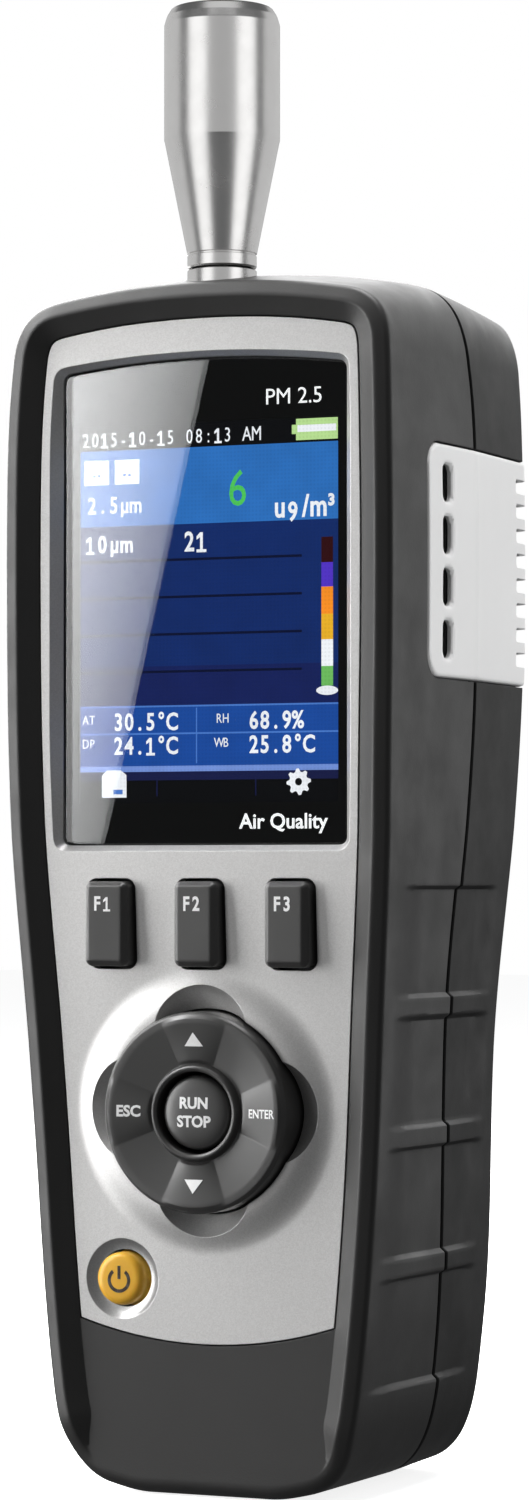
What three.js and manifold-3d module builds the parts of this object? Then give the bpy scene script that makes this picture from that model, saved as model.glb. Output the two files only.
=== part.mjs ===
// A handheld air quality monitor, built as the separate pieces it comes apart into.
//
// Units are millimetres and +Z is up. The monitor stands upright and faces -Y: its display and keys
// look along -Y and its battery door along +Y. The origin is on the flat it stands on, midway across.

import * as THREE from 'three';
import { mergeVertices } from 'three/addons/utils/BufferGeometryUtils.js';
import Module from 'manifold-3d';

const wasm = await Module();
wasm.setup();

// ---------------------------------------------------------------- driving dimensions

const GAP = 0.3;                 // between pieces that touch
const REACH = 60;                // long enough for a cutter to pass right through the case

// Case
const CROWN_Z = 211.3;           // top of the front rim
const BASE_FLAT = 11.5;          // half-width of the flat underneath
const WALL = 2.6;
const FRONT_GRIP_Y = -24.5;      // front rim beside the lower keys
const FRONT_DISPLAY_Y = -28;     // front rim beside the display, which stands further forward
const BACK_Y = 37.5;              // back of the case behind the display
const BACK_EDGE_R = 4;
const SEAM_GAP = 0.7;            // shadow gap between the front and back shells
const PARTING_SWELL = 0.8;       // the sides lean out by this much towards the seam
const CROWN_SWELL = 2.6;         // and the top by this much more
const BACK_DRAFT = 0.4;          // the sides lean in again behind the seam

// Rim around the front panel: how far in from the outline, and how far behind the rim's crest
const CREST_IN = 2.8;
const PANEL_IN = 6.2;
const PANEL_DEPTH = 2.2;
const PANEL_THICK = 2.4;
const SHELL_FLOOR_DEPTH = 4.9;
const SHELL_FLOOR_BACK = 7.2;
const PANEL_EDGE_Z = 26.4;       // lowest point of the panel's curved lower edge
const PANEL_EDGE_R = 79;

// Display
const GLASS_Y = -23.6;
const GLASS_THICK = 1.6;
const GLASS_HALF_W = 27.1;
const GLASS_Z0 = 113.3;
const GLASS_SIDE_Z = 195.9;
const GLASS_CROWN_Z = 197.7;
const WINDOW_SLOPE = 0.73;       // widening of the panel's opening per millimetre towards the front
const VIEW_HALF_W = 25.6;
const LCD_Y = -19.5;
const LCD_THICK = 3.2;

// Keys
const F_KEY = { width: 8.4, height: 14.8, faceWidth: 7, faceHeight: 13.4, corner: 1.3 };
const F_KEY_Z = 99.3;
const F_KEY_PITCH = 17.3;
const F_KEY_FACE_Y = -27.6;
const NAV_Z = 66.7;
const NAV_R = 17.5;
const NAV_FACE_Y = -27.4;
const NAV_COLLAR_R = 7.85;
const NAV_BORE_R = 7.15;
const RUN_R = 6.6;
const POWER_X = -16.3;
const POWER_Z = 37.2;
const POWER_R = 4.65;
const POWER_FACE_Y = -23.6;
const KEY_GAP = 0.4;
const MOUND = { footR: 23.8, topR: 18.6, proud: 1.2 };      // raised panel around the navigation ring
const SCOOP = { ballR: 11.5, mouthR: 7.65, centreR: 13.45 }; // four finger scoops cut into the mound
const NAV_FLANGE = { radius: 18.9, y0: -16.2, y1: -15.5 };
const MEMBRANE_Y = -14.4;
const BOARD_THICK = 1.6;
const MAIN_BOARD_Y = LCD_Y + 4.4;

// Air inlet
const INLET_Y = -16;
const INLET_BASE_Z = 214.3;
const INLET_TOP_Z = 260.4;
const INLET_R = 10.2;
const INLET_NECK_R = 6.1;
const THREAD_R = 3.9;

// Vent band around the back of the upper case
const VENT_Z0 = 142.2;
const VENT_Z1 = 183;
const VENT_FRONT_Y = -12;
const VENT_CORNER = 4.5;
const VENT_PROUD = 0.3;
const VENT_SUNK = 0.9;
const VENT_SLOT = { width: 4, height: 6.6, y: -3.8, pitch: 9.1, count: 4 };
const LOUVRE = { height: 2.6, depth: 8, pitch: 4.5, count: 8, innerX: 20 };

// Battery bay and back fittings
const BAY = { halfWidth: 21, z0: 20, z1: 94, y: 8.9, wall: 1.6 };
const DOOR = { halfWidth: 22.5, z0: 17.5, z1: 97, thick: 1.8 };
const TRIPOD_Z = 120;
const TRIPOD_FRONT_Y = 25.5;     // inner end of the tripod insert
const TRIPOD_HOLE_R = 3.2;
const SCREWS = [[-25, 196], [25, 196], [-19.5, 10.5], [19.5, 10.5]];
const SCREW_HEAD_R = 2.7;

// Sockets in the left side, under a rubber cover
const PORT_Z = 123;
const PORT_Y = -6;
const PORT_COVER = { depth: 15, height: 25, thick: 1.6 };
const USB = { width: 3.4, height: 8, length: 9, z: 116.5 };
const JACK_Z = 128.5;
const JACK_R = 2.9;

// ---------------------------------------------------------------- case surface

const lerp = THREE.MathUtils.lerp;
const smooth = THREE.MathUtils.smoothstep;

// Right half of the case's outline in front view, from the crown down to the middle of the base.
const halfOutline = new THREE.Path();
halfOutline.moveTo(0, CROWN_Z);
halfOutline.bezierCurveTo(12, CROWN_Z, 20, 210.4, 27, 209.1);        // top arch
halfOutline.bezierCurveTo(33, 207.9, 36.1, 203.5, 36.4, 195);        // shoulder
halfOutline.bezierCurveTo(37.6, 182, 37.5, 150, 36.6, 117);          // display part
halfOutline.bezierCurveTo(36.2, 105, 34.7, 89, 33.95, 75);           // waist
halfOutline.bezierCurveTo(32.8, 55, 31.6, 34, 29.3, 17);             // hand grip
halfOutline.bezierCurveTo(27.9, 7.5, 25, 2.6, 19, 1.2);              // lower corner
halfOutline.bezierCurveTo(16.5, 0.6, 14, 0, BASE_FLAT, 0);           // underside
halfOutline.lineTo(0, 0);
const OUTLINE_STEPS = [3, 4, 4, 4, 5, 4, 2, 1];

// Points along that outline with their outward normals.
const stations = halfOutline.curves.flatMap((curve, i) => {
  const steps = OUTLINE_STEPS[i];
  return Array.from({ length: steps }, (_, k) => station(curve, k / steps));
});
stations.push(station(halfOutline.curves.at(-1), 1));

function station(curve, t) {
  const point = curve.getPoint(t);
  const tangent = curve.getTangent(t);
  return { x: point.x, z: point.y, nx: -tangent.y, nz: tangent.x };
}

function frontY(z) {
  const fall = 1.4 * Math.max(0, (z - 178) / 26) ** 2;
  return lerp(FRONT_GRIP_Y, FRONT_DISPLAY_Y, smooth(z, 50, 138)) + fall;
}

function backY(z) {
  return BACK_Y - 6.8 * (1 - smooth(z, 78, 150)) + 3.6 * (1 - smooth(z, 30, 78));
}

function seamY(z) {
  const fall = 2 * Math.max(0, (z - 180) / 22) ** 2;
  return 8.6 - 4.9 * (1 - smooth(z, 88, 145)) + 5.8 * (1 - smooth(z, 17, 88)) - fall;
}

// How far the case stands out from its outline, as shares of the sides' and the top's full swell.
function swell({ nz }, sideShare, crownShare) {
  return PARTING_SWELL * sideShare * (1 - Math.max(0, -nz)) + CROWN_SWELL * crownShare * Math.max(0, nz) ** 2;
}

// One ring of the case: every outline point moved in by inset(station) and back to depth(z).
function ring(inset, depth) {
  const right = stations.map((s) => {
    const move = inset(s);
    const z = s.z - s.nz * move;
    return new THREE.Vector3(s.x - s.nx * move, depth(z), z);
  });
  const left = right.slice(1, -1).reverse().map((p) => new THREE.Vector3(-p.x, p.y, p.z));
  return [...right, ...left];
}

// Closed solid through a run of rings, front to back. Caps are ruled straight across.
function loft(rings) {
  const count = rings[0].length;
  const half = count / 2;
  const index = [];
  for (let k = 0; k + 1 < rings.length; k += 1) {
    for (let j = 0; j < count; j += 1) {
      const next = (j + 1) % count;
      const [p, q] = [k * count + j, k * count + next];
      index.push(p, q, q + count, p, q + count, p + count);
    }
  }
  const last = (rings.length - 1) * count;
  for (let i = 0; i < half; i += 1) {
    const [a, b, c, d] = [i, i + 1, (count - i - 1) % count, (count - i) % count];
    if (b !== c) {
      index.push(a, c, b, last + a, last + b, last + c);
    }
    if (a !== d) {
      index.push(a, d, c, last + a, last + c, last + d);
    }
  }
  const geometry = new THREE.BufferGeometry().setFromPoints(rings.flat());
  geometry.setIndex(index);
  return solid(geometry);
}

// The case's outer skin, moved in by `inset`, as front-half and back-half rings.
function frontRings(inset) {
  const seam = (z) => seamY(z) - SEAM_GAP / 2;
  return [
    ring(() => inset + CREST_IN, (z) => frontY(z) + inset),
    ring(() => inset, (z) => frontY(z) + inset + 0.9),
    ring((s) => inset - swell(s, 0.35, 0.62), (z) => lerp(frontY(z), seam(z), 0.35)),
    ring((s) => inset - swell(s, 1, 1), seam),
  ];
}

function backRings(inset) {
  const seam = (z) => seamY(z) + SEAM_GAP / 2;
  const edge = (angle) => ring(
    () => inset + BACK_DRAFT + BACK_EDGE_R * (1 - Math.cos(angle)),
    (z) => backY(z) - inset - BACK_EDGE_R * (1 - Math.sin(angle)),
  );
  return [
    ring((s) => inset - swell(s, 1, 1), seam),
    ring((s) => inset - swell(s, 0.3, 0.75), (z) => lerp(seam(z), backY(z), 0.4)),
    edge(0),
    edge(Math.PI / 4),
    edge(Math.PI / 2),
  ];
}

function wholeCase(inset) {
  return loft([...frontRings(inset), ...backRings(inset)]);
}

// ---------------------------------------------------------------- solid helpers

// A geometry as a manifold solid, with shared vertices merged and faces turned outwards.
function solid(geometry) {
  const bare = new THREE.BufferGeometry();
  bare.setAttribute('position', geometry.getAttribute('position'));
  bare.setIndex(geometry.index);
  const merged = mergeVertices(bare, 1e-3);
  const position = merged.getAttribute('position');
  const corner = [0, 1, 2].map(() => new THREE.Vector3());
  const triangles = [];
  let volume = 0;
  for (let i = 0; i < merged.index.count; i += 3) {
    const [a, b, c] = [0, 1, 2].map((k) => merged.index.getX(i + k));
    if (a === b || b === c || c === a) {
      continue;
    }
    [a, b, c].forEach((v, k) => corner[k].fromBufferAttribute(position, v));
    volume += corner[0].dot(corner[1].clone().cross(corner[2]));
    triangles.push([a, b, c]);
  }
  const outward = triangles.map(([a, b, c]) => (volume < 0 ? [a, c, b] : [a, b, c]));
  return new wasm.Manifold(new wasm.Mesh({
    numProp: 3,
    vertProperties: new Float32Array(position.array),
    triVerts: new Uint32Array(outward.flat()),
  }));
}

function geometryOf(manifold) {
  const mesh = manifold.getMesh();
  const geometry = new THREE.BufferGeometry();
  geometry.setAttribute('position', new THREE.BufferAttribute(mesh.vertProperties, 3));
  geometry.setIndex(new THREE.BufferAttribute(mesh.triVerts, 1));
  return geometry;
}

function union(first, ...others) {
  return others.reduce((sum, other) => sum.add(other), first);
}

function cut(body, ...cutters) {
  return cutters.reduce((rest, cutter) => rest.subtract(cutter), body);
}

// Block between two corners.
function block([x0, x1], [y0, y1], [z0, z1]) {
  const geometry = new THREE.BoxGeometry(x1 - x0, y1 - y0, z1 - z0);
  geometry.translate((x0 + x1) / 2, (y0 + y1) / 2, (z0 + z1) / 2);
  return solid(geometry);
}

// Rectangle with rounded corners, as a THREE.Shape centred on (u, v).
function roundedRect(u, v, width, height, radius) {
  const [a, b] = [width / 2 - radius, height / 2 - radius];
  const shape = new THREE.Shape();
  shape.absarc(u + a, v + b, radius, 0, Math.PI / 2);
  shape.absarc(u - a, v + b, radius, Math.PI / 2, Math.PI);
  shape.absarc(u - a, v - b, radius, Math.PI, Math.PI * 1.5);
  shape.absarc(u + a, v - b, radius, Math.PI * 1.5, Math.PI * 2);
  return shape;
}

// Front-view shape (x, z) made solid from y0 back to y1.
function alongY(shape, y0, y1, curveSegments = 3) {
  const geometry = new THREE.ExtrudeGeometry(shape, { depth: y1 - y0, bevelEnabled: false, curveSegments });
  geometry.rotateX(Math.PI / 2);
  geometry.translate(0, y1, 0);
  return solid(geometry);
}

// Side-view shape (y, z) made solid from x0 to x1.
function alongX(shape, x0, x1, curveSegments = 3) {
  const geometry = new THREE.ExtrudeGeometry(shape, { depth: x1 - x0, bevelEnabled: false, curveSegments });
  geometry.rotateX(Math.PI / 2);
  geometry.rotateZ(Math.PI / 2);
  geometry.translate(x0, 0, 0);
  return solid(geometry);
}

// Solid between two front-view outlines with the same number of points, at y0 and y1.
function tapered(frontShape, y0, backShape, y1, divisions = 3) {
  const place = (shape, y) => shape.extractPoints(divisions).shape
    .map((p) => new THREE.Vector3(p.x, y, p.y));
  const [front, back] = [place(frontShape, y0), place(backShape, y1)];
  const count = front.length;
  const flat = front.map((p) => new THREE.Vector2(p.x, p.z));
  const cap = THREE.ShapeUtils.triangulateShape(flat, []);
  const index = cap.flatMap(([a, b, c]) => [a, b, c, count + a, count + c, count + b]);
  for (let j = 0; j < count; j += 1) {
    const next = (j + 1) % count;
    index.push(j, count + j, count + next, j, count + next, next);
  }
  const geometry = new THREE.BufferGeometry().setFromPoints([...front, ...back]);
  geometry.setIndex(index);
  return solid(geometry);
}

// Solid of revolution from [radius, along] points, about Y ("along" is y) or about Z.
function turnedY(profile, segments = 24) {
  return solid(new THREE.LatheGeometry(profile.map(([r, y]) => new THREE.Vector2(r, y)), segments));
}

function turnedZ(profile, segments = 24) {
  const geometry = new THREE.LatheGeometry(profile.map(([r, z]) => new THREE.Vector2(r, z)), segments);
  geometry.rotateX(Math.PI / 2);
  return solid(geometry);
}

function turnedX(profile, segments = 20) {
  const geometry = new THREE.LatheGeometry(profile.map(([r, x]) => new THREE.Vector2(r, x)), segments);
  geometry.rotateZ(-Math.PI / 2);
  return solid(geometry);
}

function rod(radius, from, to) {
  return [[0, from], [radius, from], [radius, to], [0, to]];
}

function tubeWall(inner, outer, from, to) {
  return [[inner, from], [outer, from], [outer, to], [inner, to], [inner, from]];
}

// Round bar along Y through (x, z).
function pegY(radius, x, z, y0, y1, segments = 20) {
  return turnedY(rod(radius, y0, y1), segments).translate([x, 0, z]);
}

// Hose of a round section swept along a smooth run of points.
function hose(points, outer, inner) {
  const path = new THREE.CatmullRomCurve3(points.map((p) => new THREE.Vector3(...p)));
  const section = new THREE.Shape().absarc(0, 0, outer, 0, Math.PI * 2);
  section.holes.push(new THREE.Path().absarc(0, 0, inner, 0, Math.PI * 2));
  const options = { steps: 7, bevelEnabled: false, curveSegments: 4, extrudePath: path };
  return solid(new THREE.ExtrudeGeometry(section, options));
}

// ---------------------------------------------------------------- the object

const monitor = new THREE.Group();

function piece(name, shape, color, roughness, metalness = 0, position = [0, 0, 0]) {
  const material = new THREE.MeshStandardMaterial({ color, roughness, metalness });
  const mesh = new THREE.Mesh(geometryOf(shape), material);
  mesh.name = name;
  mesh.position.set(...position);
  monitor.add(mesh);
}

const COLOR = {
  housing: 0x4a4a4c,
  silver: 0xaaa8aa,
  vent: 0xd2d1d4,
  key: 0x565658,
  amber: 0xe8a83a,
  glass: 0x101418,
  steel: 0xb4b2ae,
  brass: 0xb99545,
  board: 0x1f6b3c,
  black: 0x1c1c1e,
  rubber: 0x2c2c2e,
  cell: 0x2f5fa8,
};

// ------------------------------------------------ openings shared by the front pieces

function windowShape(grow) {
  const [w, bottom, side] = [GLASS_HALF_W + grow, GLASS_Z0 - grow, GLASS_SIDE_Z + grow];
  const r = 1.3 + grow;
  const shape = new THREE.Shape();
  shape.moveTo(-w + r, bottom);
  shape.lineTo(w - r, bottom);
  shape.quadraticCurveTo(w, bottom, w, bottom + r);
  shape.lineTo(w, side - r);
  shape.quadraticCurveTo(w, side, w - r, side + 0.2);
  shape.quadraticCurveTo(0, 2 * GLASS_CROWN_Z - GLASS_SIDE_Z + grow, -w + r, side + 0.2);
  shape.quadraticCurveTo(-w, side, -w, side - r);
  shape.lineTo(-w, bottom + r);
  shape.quadraticCurveTo(-w, bottom, -w + r, bottom);
  return shape;
}

function windowOpening() {
  const lip = GLASS_Y - 3.4;
  const straight = alongY(windowShape(GAP), GLASS_Y - 0.01, GLASS_Y + GLASS_THICK + GAP);
  return straight.add(tapered(windowShape(GAP + 3.4 * WINDOW_SLOPE), lip, windowShape(GAP), GLASS_Y));
}

function viewOpening() {
  const height = GLASS_SIDE_Z - GLASS_Z0 - 3;
  const middle = (GLASS_SIDE_Z + GLASS_Z0) / 2;
  return alongY(roundedRect(0, middle, VIEW_HALF_W * 2, height, 1), -REACH, 0, 1);
}

const fKeyXs = [-F_KEY_PITCH, 0, F_KEY_PITCH];

function keyHoles() {
  const { width, height, corner } = F_KEY;
  const slots = fKeyXs.map((x) => {
    const shape = roundedRect(x, F_KEY_Z, width + 2 * KEY_GAP, height + 2 * KEY_GAP, corner + KEY_GAP);
    return alongY(shape, -REACH, 0, 2);
  });
  const nav = pegY(NAV_R + KEY_GAP, 0, NAV_Z, -REACH, 0, 32);
  const power = pegY(POWER_R + KEY_GAP, POWER_X, POWER_Z, -REACH, 0);
  return union(...slots, nav, power);
}

// Everything above the curved lower edge of the front panel.
function abovePanelEdge(grow) {
  const [half, top] = [45, 230];
  const centre = PANEL_EDGE_Z + PANEL_EDGE_R;
  const radius = PANEL_EDGE_R + grow;
  const angle = Math.asin(half / radius);
  const shape = new THREE.Shape();
  shape.moveTo(half, top);
  shape.lineTo(-half, top);
  shape.lineTo(-half, centre - radius * Math.cos(angle));
  shape.absarc(0, centre, radius, -Math.PI / 2 - angle, -Math.PI / 2 + angle);
  return alongY(shape, -REACH, REACH, 8);
}

// A solid made for the panel's surface at the navigation ring, bent to follow the panel's slope.
function followFront(shape) {
  return shape.warp((point) => {
    point[1] += frontY(point[2]) - frontY(NAV_Z);
  });
}

function navMound() {
  const surface = frontY(NAV_Z) + PANEL_DEPTH;
  const top = surface - MOUND.proud;
  const mound = turnedY([[0, top], [MOUND.topR, top], [MOUND.footR, surface], [MOUND.footR, surface + 1], [0, surface + 1]], 36);
  return followFront(mound.translate([0, 0, NAV_Z]));
}

function fingerScoops() {
  const { ballR, mouthR, centreR } = SCOOP;
  const centreY = frontY(NAV_Z) + PANEL_DEPTH - Math.sqrt(ballR ** 2 - mouthR ** 2);
  const ball = solid(new THREE.SphereGeometry(ballR, 24, 16));
  const balls = [0, 1, 2, 3].map((turn) => {
    const angle = turn * Math.PI / 2;
    return ball.translate([centreR * Math.cos(angle), centreY, NAV_Z + centreR * Math.sin(angle)]);
  });
  return followFront(union(...balls));
}

function powerDish() {
  const surface = frontY(POWER_Z) + PANEL_DEPTH;
  const dish = [[0, surface - 0.4], [7.4, surface - 0.4], [7, surface], [POWER_R, surface + 1.3], [0, surface + 1.3]];
  return turnedY(dish).translate([POWER_X, 0, POWER_Z]);
}

// ------------------------------------------------ case

// Region that the vent band fills, larger by `grow`, between two depths of the case skin.
function ventRegion(grow, outerInset, innerInset) {
  const height = VENT_Z1 - VENT_Z0 + 2 * grow;
  const depth = REACH - VENT_FRONT_Y + grow;
  const middleY = VENT_FRONT_Y - grow + depth / 2;
  const shape = roundedRect(middleY, (VENT_Z0 + VENT_Z1) / 2, depth, height, VENT_CORNER + grow);
  const band = alongX(shape, -REACH, REACH);
  return band.intersect(wholeCase(outerInset)).subtract(wholeCase(innerInset));
}

function ventSlots() {
  const { width, height, y, pitch, count } = VENT_SLOT;
  const middle = (VENT_Z0 + VENT_Z1) / 2;
  const slots = Array.from({ length: count }, (_, i) => {
    const z = middle + (i - (count - 1) / 2) * pitch;
    return alongX(roundedRect(y, z, width, height, 1.5), -REACH, REACH, 2);
  });
  return union(...slots);
}

function louvres() {
  const { height, depth, pitch, count, innerX } = LOUVRE;
  const middle = (VENT_Z0 + VENT_Z1) / 2;
  const bars = Array.from({ length: count }, (_, i) => {
    const z = middle + (i - (count - 1) / 2) * pitch;
    const span = [z - height / 2, z + height / 2];
    return [[-REACH, -innerX], [innerX, REACH]].map((x) => block(x, [BACK_Y - depth, REACH], span));
  });
  return union(...bars.flat());
}

function caseCavity(front) {
  if (front) {
    return loft([
      ring(() => WALL, (z) => frontY(z) + SHELL_FLOOR_BACK),
      ring((s) => WALL - swell(s, 0.6, 0.6), (z) => seamY(z) + 1),
    ]);
  }
  return loft([
    ring((s) => WALL - swell(s, 0.6, 0.6), (z) => seamY(z) - 1),
    ring(() => WALL + BACK_DRAFT, (z) => backY(z) - BACK_EDGE_R),
    ring(() => WALL + BACK_DRAFT + 2, (z) => backY(z) - WALL),
  ]);
}

function portHoles() {
  const { width, height, z } = USB;
  const slot = alongX(roundedRect(PORT_Y, z, width + 1, height + 1, 0.8), -REACH, -20, 2);
  const jack = turnedX(rod(JACK_R + 0.6, -REACH, -20)).translate([0, PORT_Y, JACK_Z]);
  const seat = alongX(
    roundedRect(PORT_Y, PORT_Z, PORT_COVER.depth + 2 * GAP, PORT_COVER.height + 2 * GAP, 2.3),
    -REACH,
    -sideX(PORT_Z) + PORT_COVER.thick + GAP - 0.4,
    2,
  );
  return union(slot, jack, seat);
}

// Half-width of the outline at height z on its straight sides.
function sideX(z) {
  const above = stations.findIndex((s) => s.x > 28 && s.z < z);
  const [a, b] = [stations[above - 1], stations[above]];
  return lerp(a.x, b.x, (a.z - z) / (a.z - b.z));
}

function frontShell() {
  const rimSlope = (PANEL_IN - CREST_IN) / PANEL_DEPTH;
  const recess = loft([
    ring(() => CREST_IN - rimSlope, (z) => frontY(z) - 1),
    ring(() => PANEL_IN, (z) => frontY(z) + PANEL_DEPTH),
    ring(() => PANEL_IN, (z) => frontY(z) + PANEL_DEPTH + 0.2),
  ]);
  const pocket = loft([
    ring(() => PANEL_IN, (z) => frontY(z) + PANEL_DEPTH),
    ring(() => PANEL_IN, (z) => frontY(z) + SHELL_FLOOR_DEPTH),
  ]).intersect(abovePanelEdge(GAP));
  const collarSeat = turnedZ(rod(6.4 + GAP, INLET_BASE_Z - 1.2, 230));
  const inlet = turnedZ(rod(THREAD_R + GAP, 198, 230), 16).add(collarSeat).translate([0, INLET_Y, 0]);
  const glassSeat = alongY(windowShape(GAP), -REACH, GLASS_Y + GLASS_THICK + GAP);
  const skinVent = ventRegion(GAP, -2, VENT_SUNK + GAP);
  return cut(
    loft(frontRings(0)), recess, pocket, caseCavity(true), glassSeat, viewOpening(), keyHoles(),
    inlet, skinVent, ventSlots(), portHoles(),
  );
}

function backShell() {
  const { halfWidth, z0, z1, y, wall } = BAY;
  const inset = DOOR.thick + GAP;
  const bayWalls = block([-halfWidth - wall, halfWidth + wall], [y - wall, 60], [z0 - wall, z1 + wall]);
  const boss = pegY(7.5, 0, TRIPOD_Z, TRIPOD_FRONT_Y - 2.5, 60);
  const posts = SCREWS.map(([x, z]) => pegY(4.2, x, z, seamY(z) + 2, 60, 12));
  const skin = loft(backRings(0));
  const filled = union(cut(skin, caseCavity(false)), union(bayWalls, boss, ...posts).intersect(skin));
  const bay = block([-halfWidth, halfWidth], [y, 60], [z0, z1]);
  const doorSeat = doorPlate(GAP, inset).add(block([-6 - GAP, 6 + GAP], [y + 12, 60], [z1 - 1, DOOR.z1 + 1.2]));
  const insertHole = pegY(5 + GAP, 0, TRIPOD_Z, TRIPOD_FRONT_Y - 1, 60);
  const screwHoles = SCREWS.map(([x, z]) => union(
    pegY(SCREW_HEAD_R + GAP, x, z, backY(z) - 7, 60, 12),
    pegY(1.3 + GAP, x, z, seamY(z) - 2, backY(z) - 6, 8),
  ));
  const skinVent = ventRegion(GAP, -2, VENT_SUNK + GAP);
  return cut(filled, bay, doorSeat, insertHole, ...screwHoles, skinVent, louvres());
}

// Slab that follows the back of the case in the battery door's outline.
function doorPlate(grow, thick) {
  const { halfWidth, z0, z1 } = DOOR;
  const shape = roundedRect(0, (z0 + z1) / 2, 2 * (halfWidth + grow), z1 - z0 + 2 * grow, 3 + grow);
  const column = alongY(shape, 0, REACH);
  const layer = loft([
    ring(() => 2, (z) => backY(z) - thick),
    ring(() => 2, (z) => backY(z) + (grow > 0 ? 5 : 0)),
  ]);
  return column.intersect(layer);
}

function batteryDoor() {
  const latch = block([-6, 6], [backY(DOOR.z1) - 5, backY(DOOR.z1) - 0.4], [DOOR.z1 - 3, DOOR.z1 + 0.8]);
  const grooves = [0, 1, 2].map((i) => {
    const z = DOOR.z1 - 6 - 2.2 * i;
    return block([-8, 8], [backY(z) - 0.6, 60], [z - 0.5, z + 0.5]);
  });
  return cut(doorPlate(0, DOOR.thick).add(latch), ...grooves);
}

function ventBand() {
  return cut(ventRegion(0, -VENT_PROUD, VENT_SUNK), ventSlots(), louvres());
}

function caseScrew(z) {
  const head = backY(z) - 4.6;
  const body = turnedY([
    [0, seamY(z) + 3], [1.3, seamY(z) + 3], [1.3, head - 2], [SCREW_HEAD_R, head - 2], [SCREW_HEAD_R, head], [0, head],
  ], 12);
  const arm = (w, h) => block([-w, w], [head - 1, head + 1], [-h, h]);
  return cut(body, arm(1.7, 0.4), arm(0.4, 1.7));
}

// ------------------------------------------------ front pieces

function frontPanel() {
  const plate = loft([
    ring(() => PANEL_IN + GAP, (z) => frontY(z) + PANEL_DEPTH),
    ring(() => PANEL_IN + GAP, (z) => frontY(z) + PANEL_DEPTH + PANEL_THICK),
  ]).intersect(abovePanelEdge(0));
  return cut(plate.add(navMound()), windowOpening(), keyHoles(), fingerScoops(), powerDish());
}

function functionKey() {
  const { width, height, faceWidth, faceHeight, corner } = F_KEY;
  const base = roundedRect(0, 0, width, height, corner);
  const face = roundedRect(0, 0, faceWidth, faceHeight, corner * 0.7);
  const flange = frontY(F_KEY_Z - height / 2) + SHELL_FLOOR_BACK + GAP + 0.6;
  return union(
    tapered(face, F_KEY_FACE_Y, base, F_KEY_FACE_Y + 0.9, 2),
    alongY(base, F_KEY_FACE_Y + 0.9, flange + 0.5, 2),
    alongY(roundedRect(0, 0, width + 2.6, height + 2.6, 1), flange, flange + 1, 1),
  );
}

function navRing() {
  return turnedY([
    [NAV_BORE_R, -19.2], [NAV_BORE_R, NAV_FACE_Y + 0.2], [NAV_COLLAR_R, NAV_FACE_Y - 0.2],
    [NAV_COLLAR_R + 0.7, NAV_FACE_Y + 1], [NAV_R - 2.4, NAV_FACE_Y], [NAV_R - 0.8, NAV_FACE_Y + 0.5],
    [NAV_R, NAV_FACE_Y + 1.6], [NAV_R, NAV_FLANGE.y0], [NAV_FLANGE.radius, NAV_FLANGE.y0],
    [NAV_FLANGE.radius, NAV_FLANGE.y1], [11, NAV_FLANGE.y1], [11, -19.2], [NAV_BORE_R, -19.2],
  ], 32);
}

function navWeb() {
  return turnedY(tubeWall(7.4, 10.5, -18.5, -15.5), 24);
}

function runStopButton() {
  return turnedY([
    [0, NAV_FACE_Y + 0.3], [4.4, NAV_FACE_Y + 0.5], [RUN_R - 0.5, NAV_FACE_Y + 1.1],
    [RUN_R, NAV_FACE_Y + 1.8], [RUN_R, -15.8], [0, -15.8],
  ]);
}

function powerButton() {
  return turnedY([
    [0, POWER_FACE_Y], [POWER_R - 1, POWER_FACE_Y + 0.1], [POWER_R, POWER_FACE_Y + 0.9],
    [POWER_R, -16.9], [POWER_R + 1.2, -16.9], [POWER_R + 1.2, -16], [0, -16],
  ], 20);
}

function displayWindow() {
  return alongY(windowShape(0), GLASS_Y, GLASS_Y + GLASS_THICK);
}

function lcdFrame() {
  const middle = (GLASS_SIDE_Z + GLASS_Z0) / 2;
  const outer = alongY(roundedRect(0, middle, 59, 85, 1.5), LCD_Y, LCD_Y + 4.1, 1);
  return outer.subtract(block([-27.6, 27.6], [-REACH, 0], [middle - 40.8, middle + 40.8]));
}

function lcdModule() {
  const middle = (GLASS_SIDE_Z + GLASS_Z0) / 2;
  return block([-27.3, 27.3], [LCD_Y, LCD_Y + LCD_THICK], [middle - 40.5, middle + 40.5]);
}

// ------------------------------------------------ boards

function keypadMembrane() {
  return alongY(roundedRect(0, 68, 50, 80, 3), MEMBRANE_Y, MEMBRANE_Y + 1.2, 1);
}

function keypadBoard() {
  return alongY(roundedRect(0, 67, 50, 86, 2), MEMBRANE_Y + 1.5, MEMBRANE_Y + 1.5 + BOARD_THICK, 1);
}

function mainBoard() {
  const plate = alongY(roundedRect(0, 156, 58, 84, 2), MAIN_BOARD_Y, MAIN_BOARD_Y + BOARD_THICK, 1);
  return plate.subtract(block([-8, 8], [-REACH, 0], [193, 200]));
}

// ------------------------------------------------ air path

function inletProbe() {
  const cone = INLET_BASE_Z + 2.4;
  const shoulder = 237.1;
  const outside = [
    [5.5, INLET_BASE_Z], [INLET_NECK_R, INLET_BASE_Z + 0.4], [INLET_NECK_R, cone], [INLET_R, shoulder],
    [INLET_R, INLET_TOP_Z - 3], [INLET_R - 0.5, INLET_TOP_Z - 1.4], [8.6, INLET_TOP_Z],
  ];
  const bore = [
    [7.8, INLET_TOP_Z], [7.4, INLET_TOP_Z - 4], [2, shoulder - 8], [2, 227.2],
    [THREAD_R + 0.4, 227.2], [THREAD_R + 0.4, INLET_BASE_Z + 1.5], [5.5, INLET_BASE_Z + 1.5], [5.5, INLET_BASE_Z],
  ];
  return turnedZ([...outside, ...bore]);
}

function probeOring() {
  return turnedZ(tubeWall(4.3, 5.2, INLET_BASE_Z + 0.1, INLET_BASE_Z + 1.2), 20);
}

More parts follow.
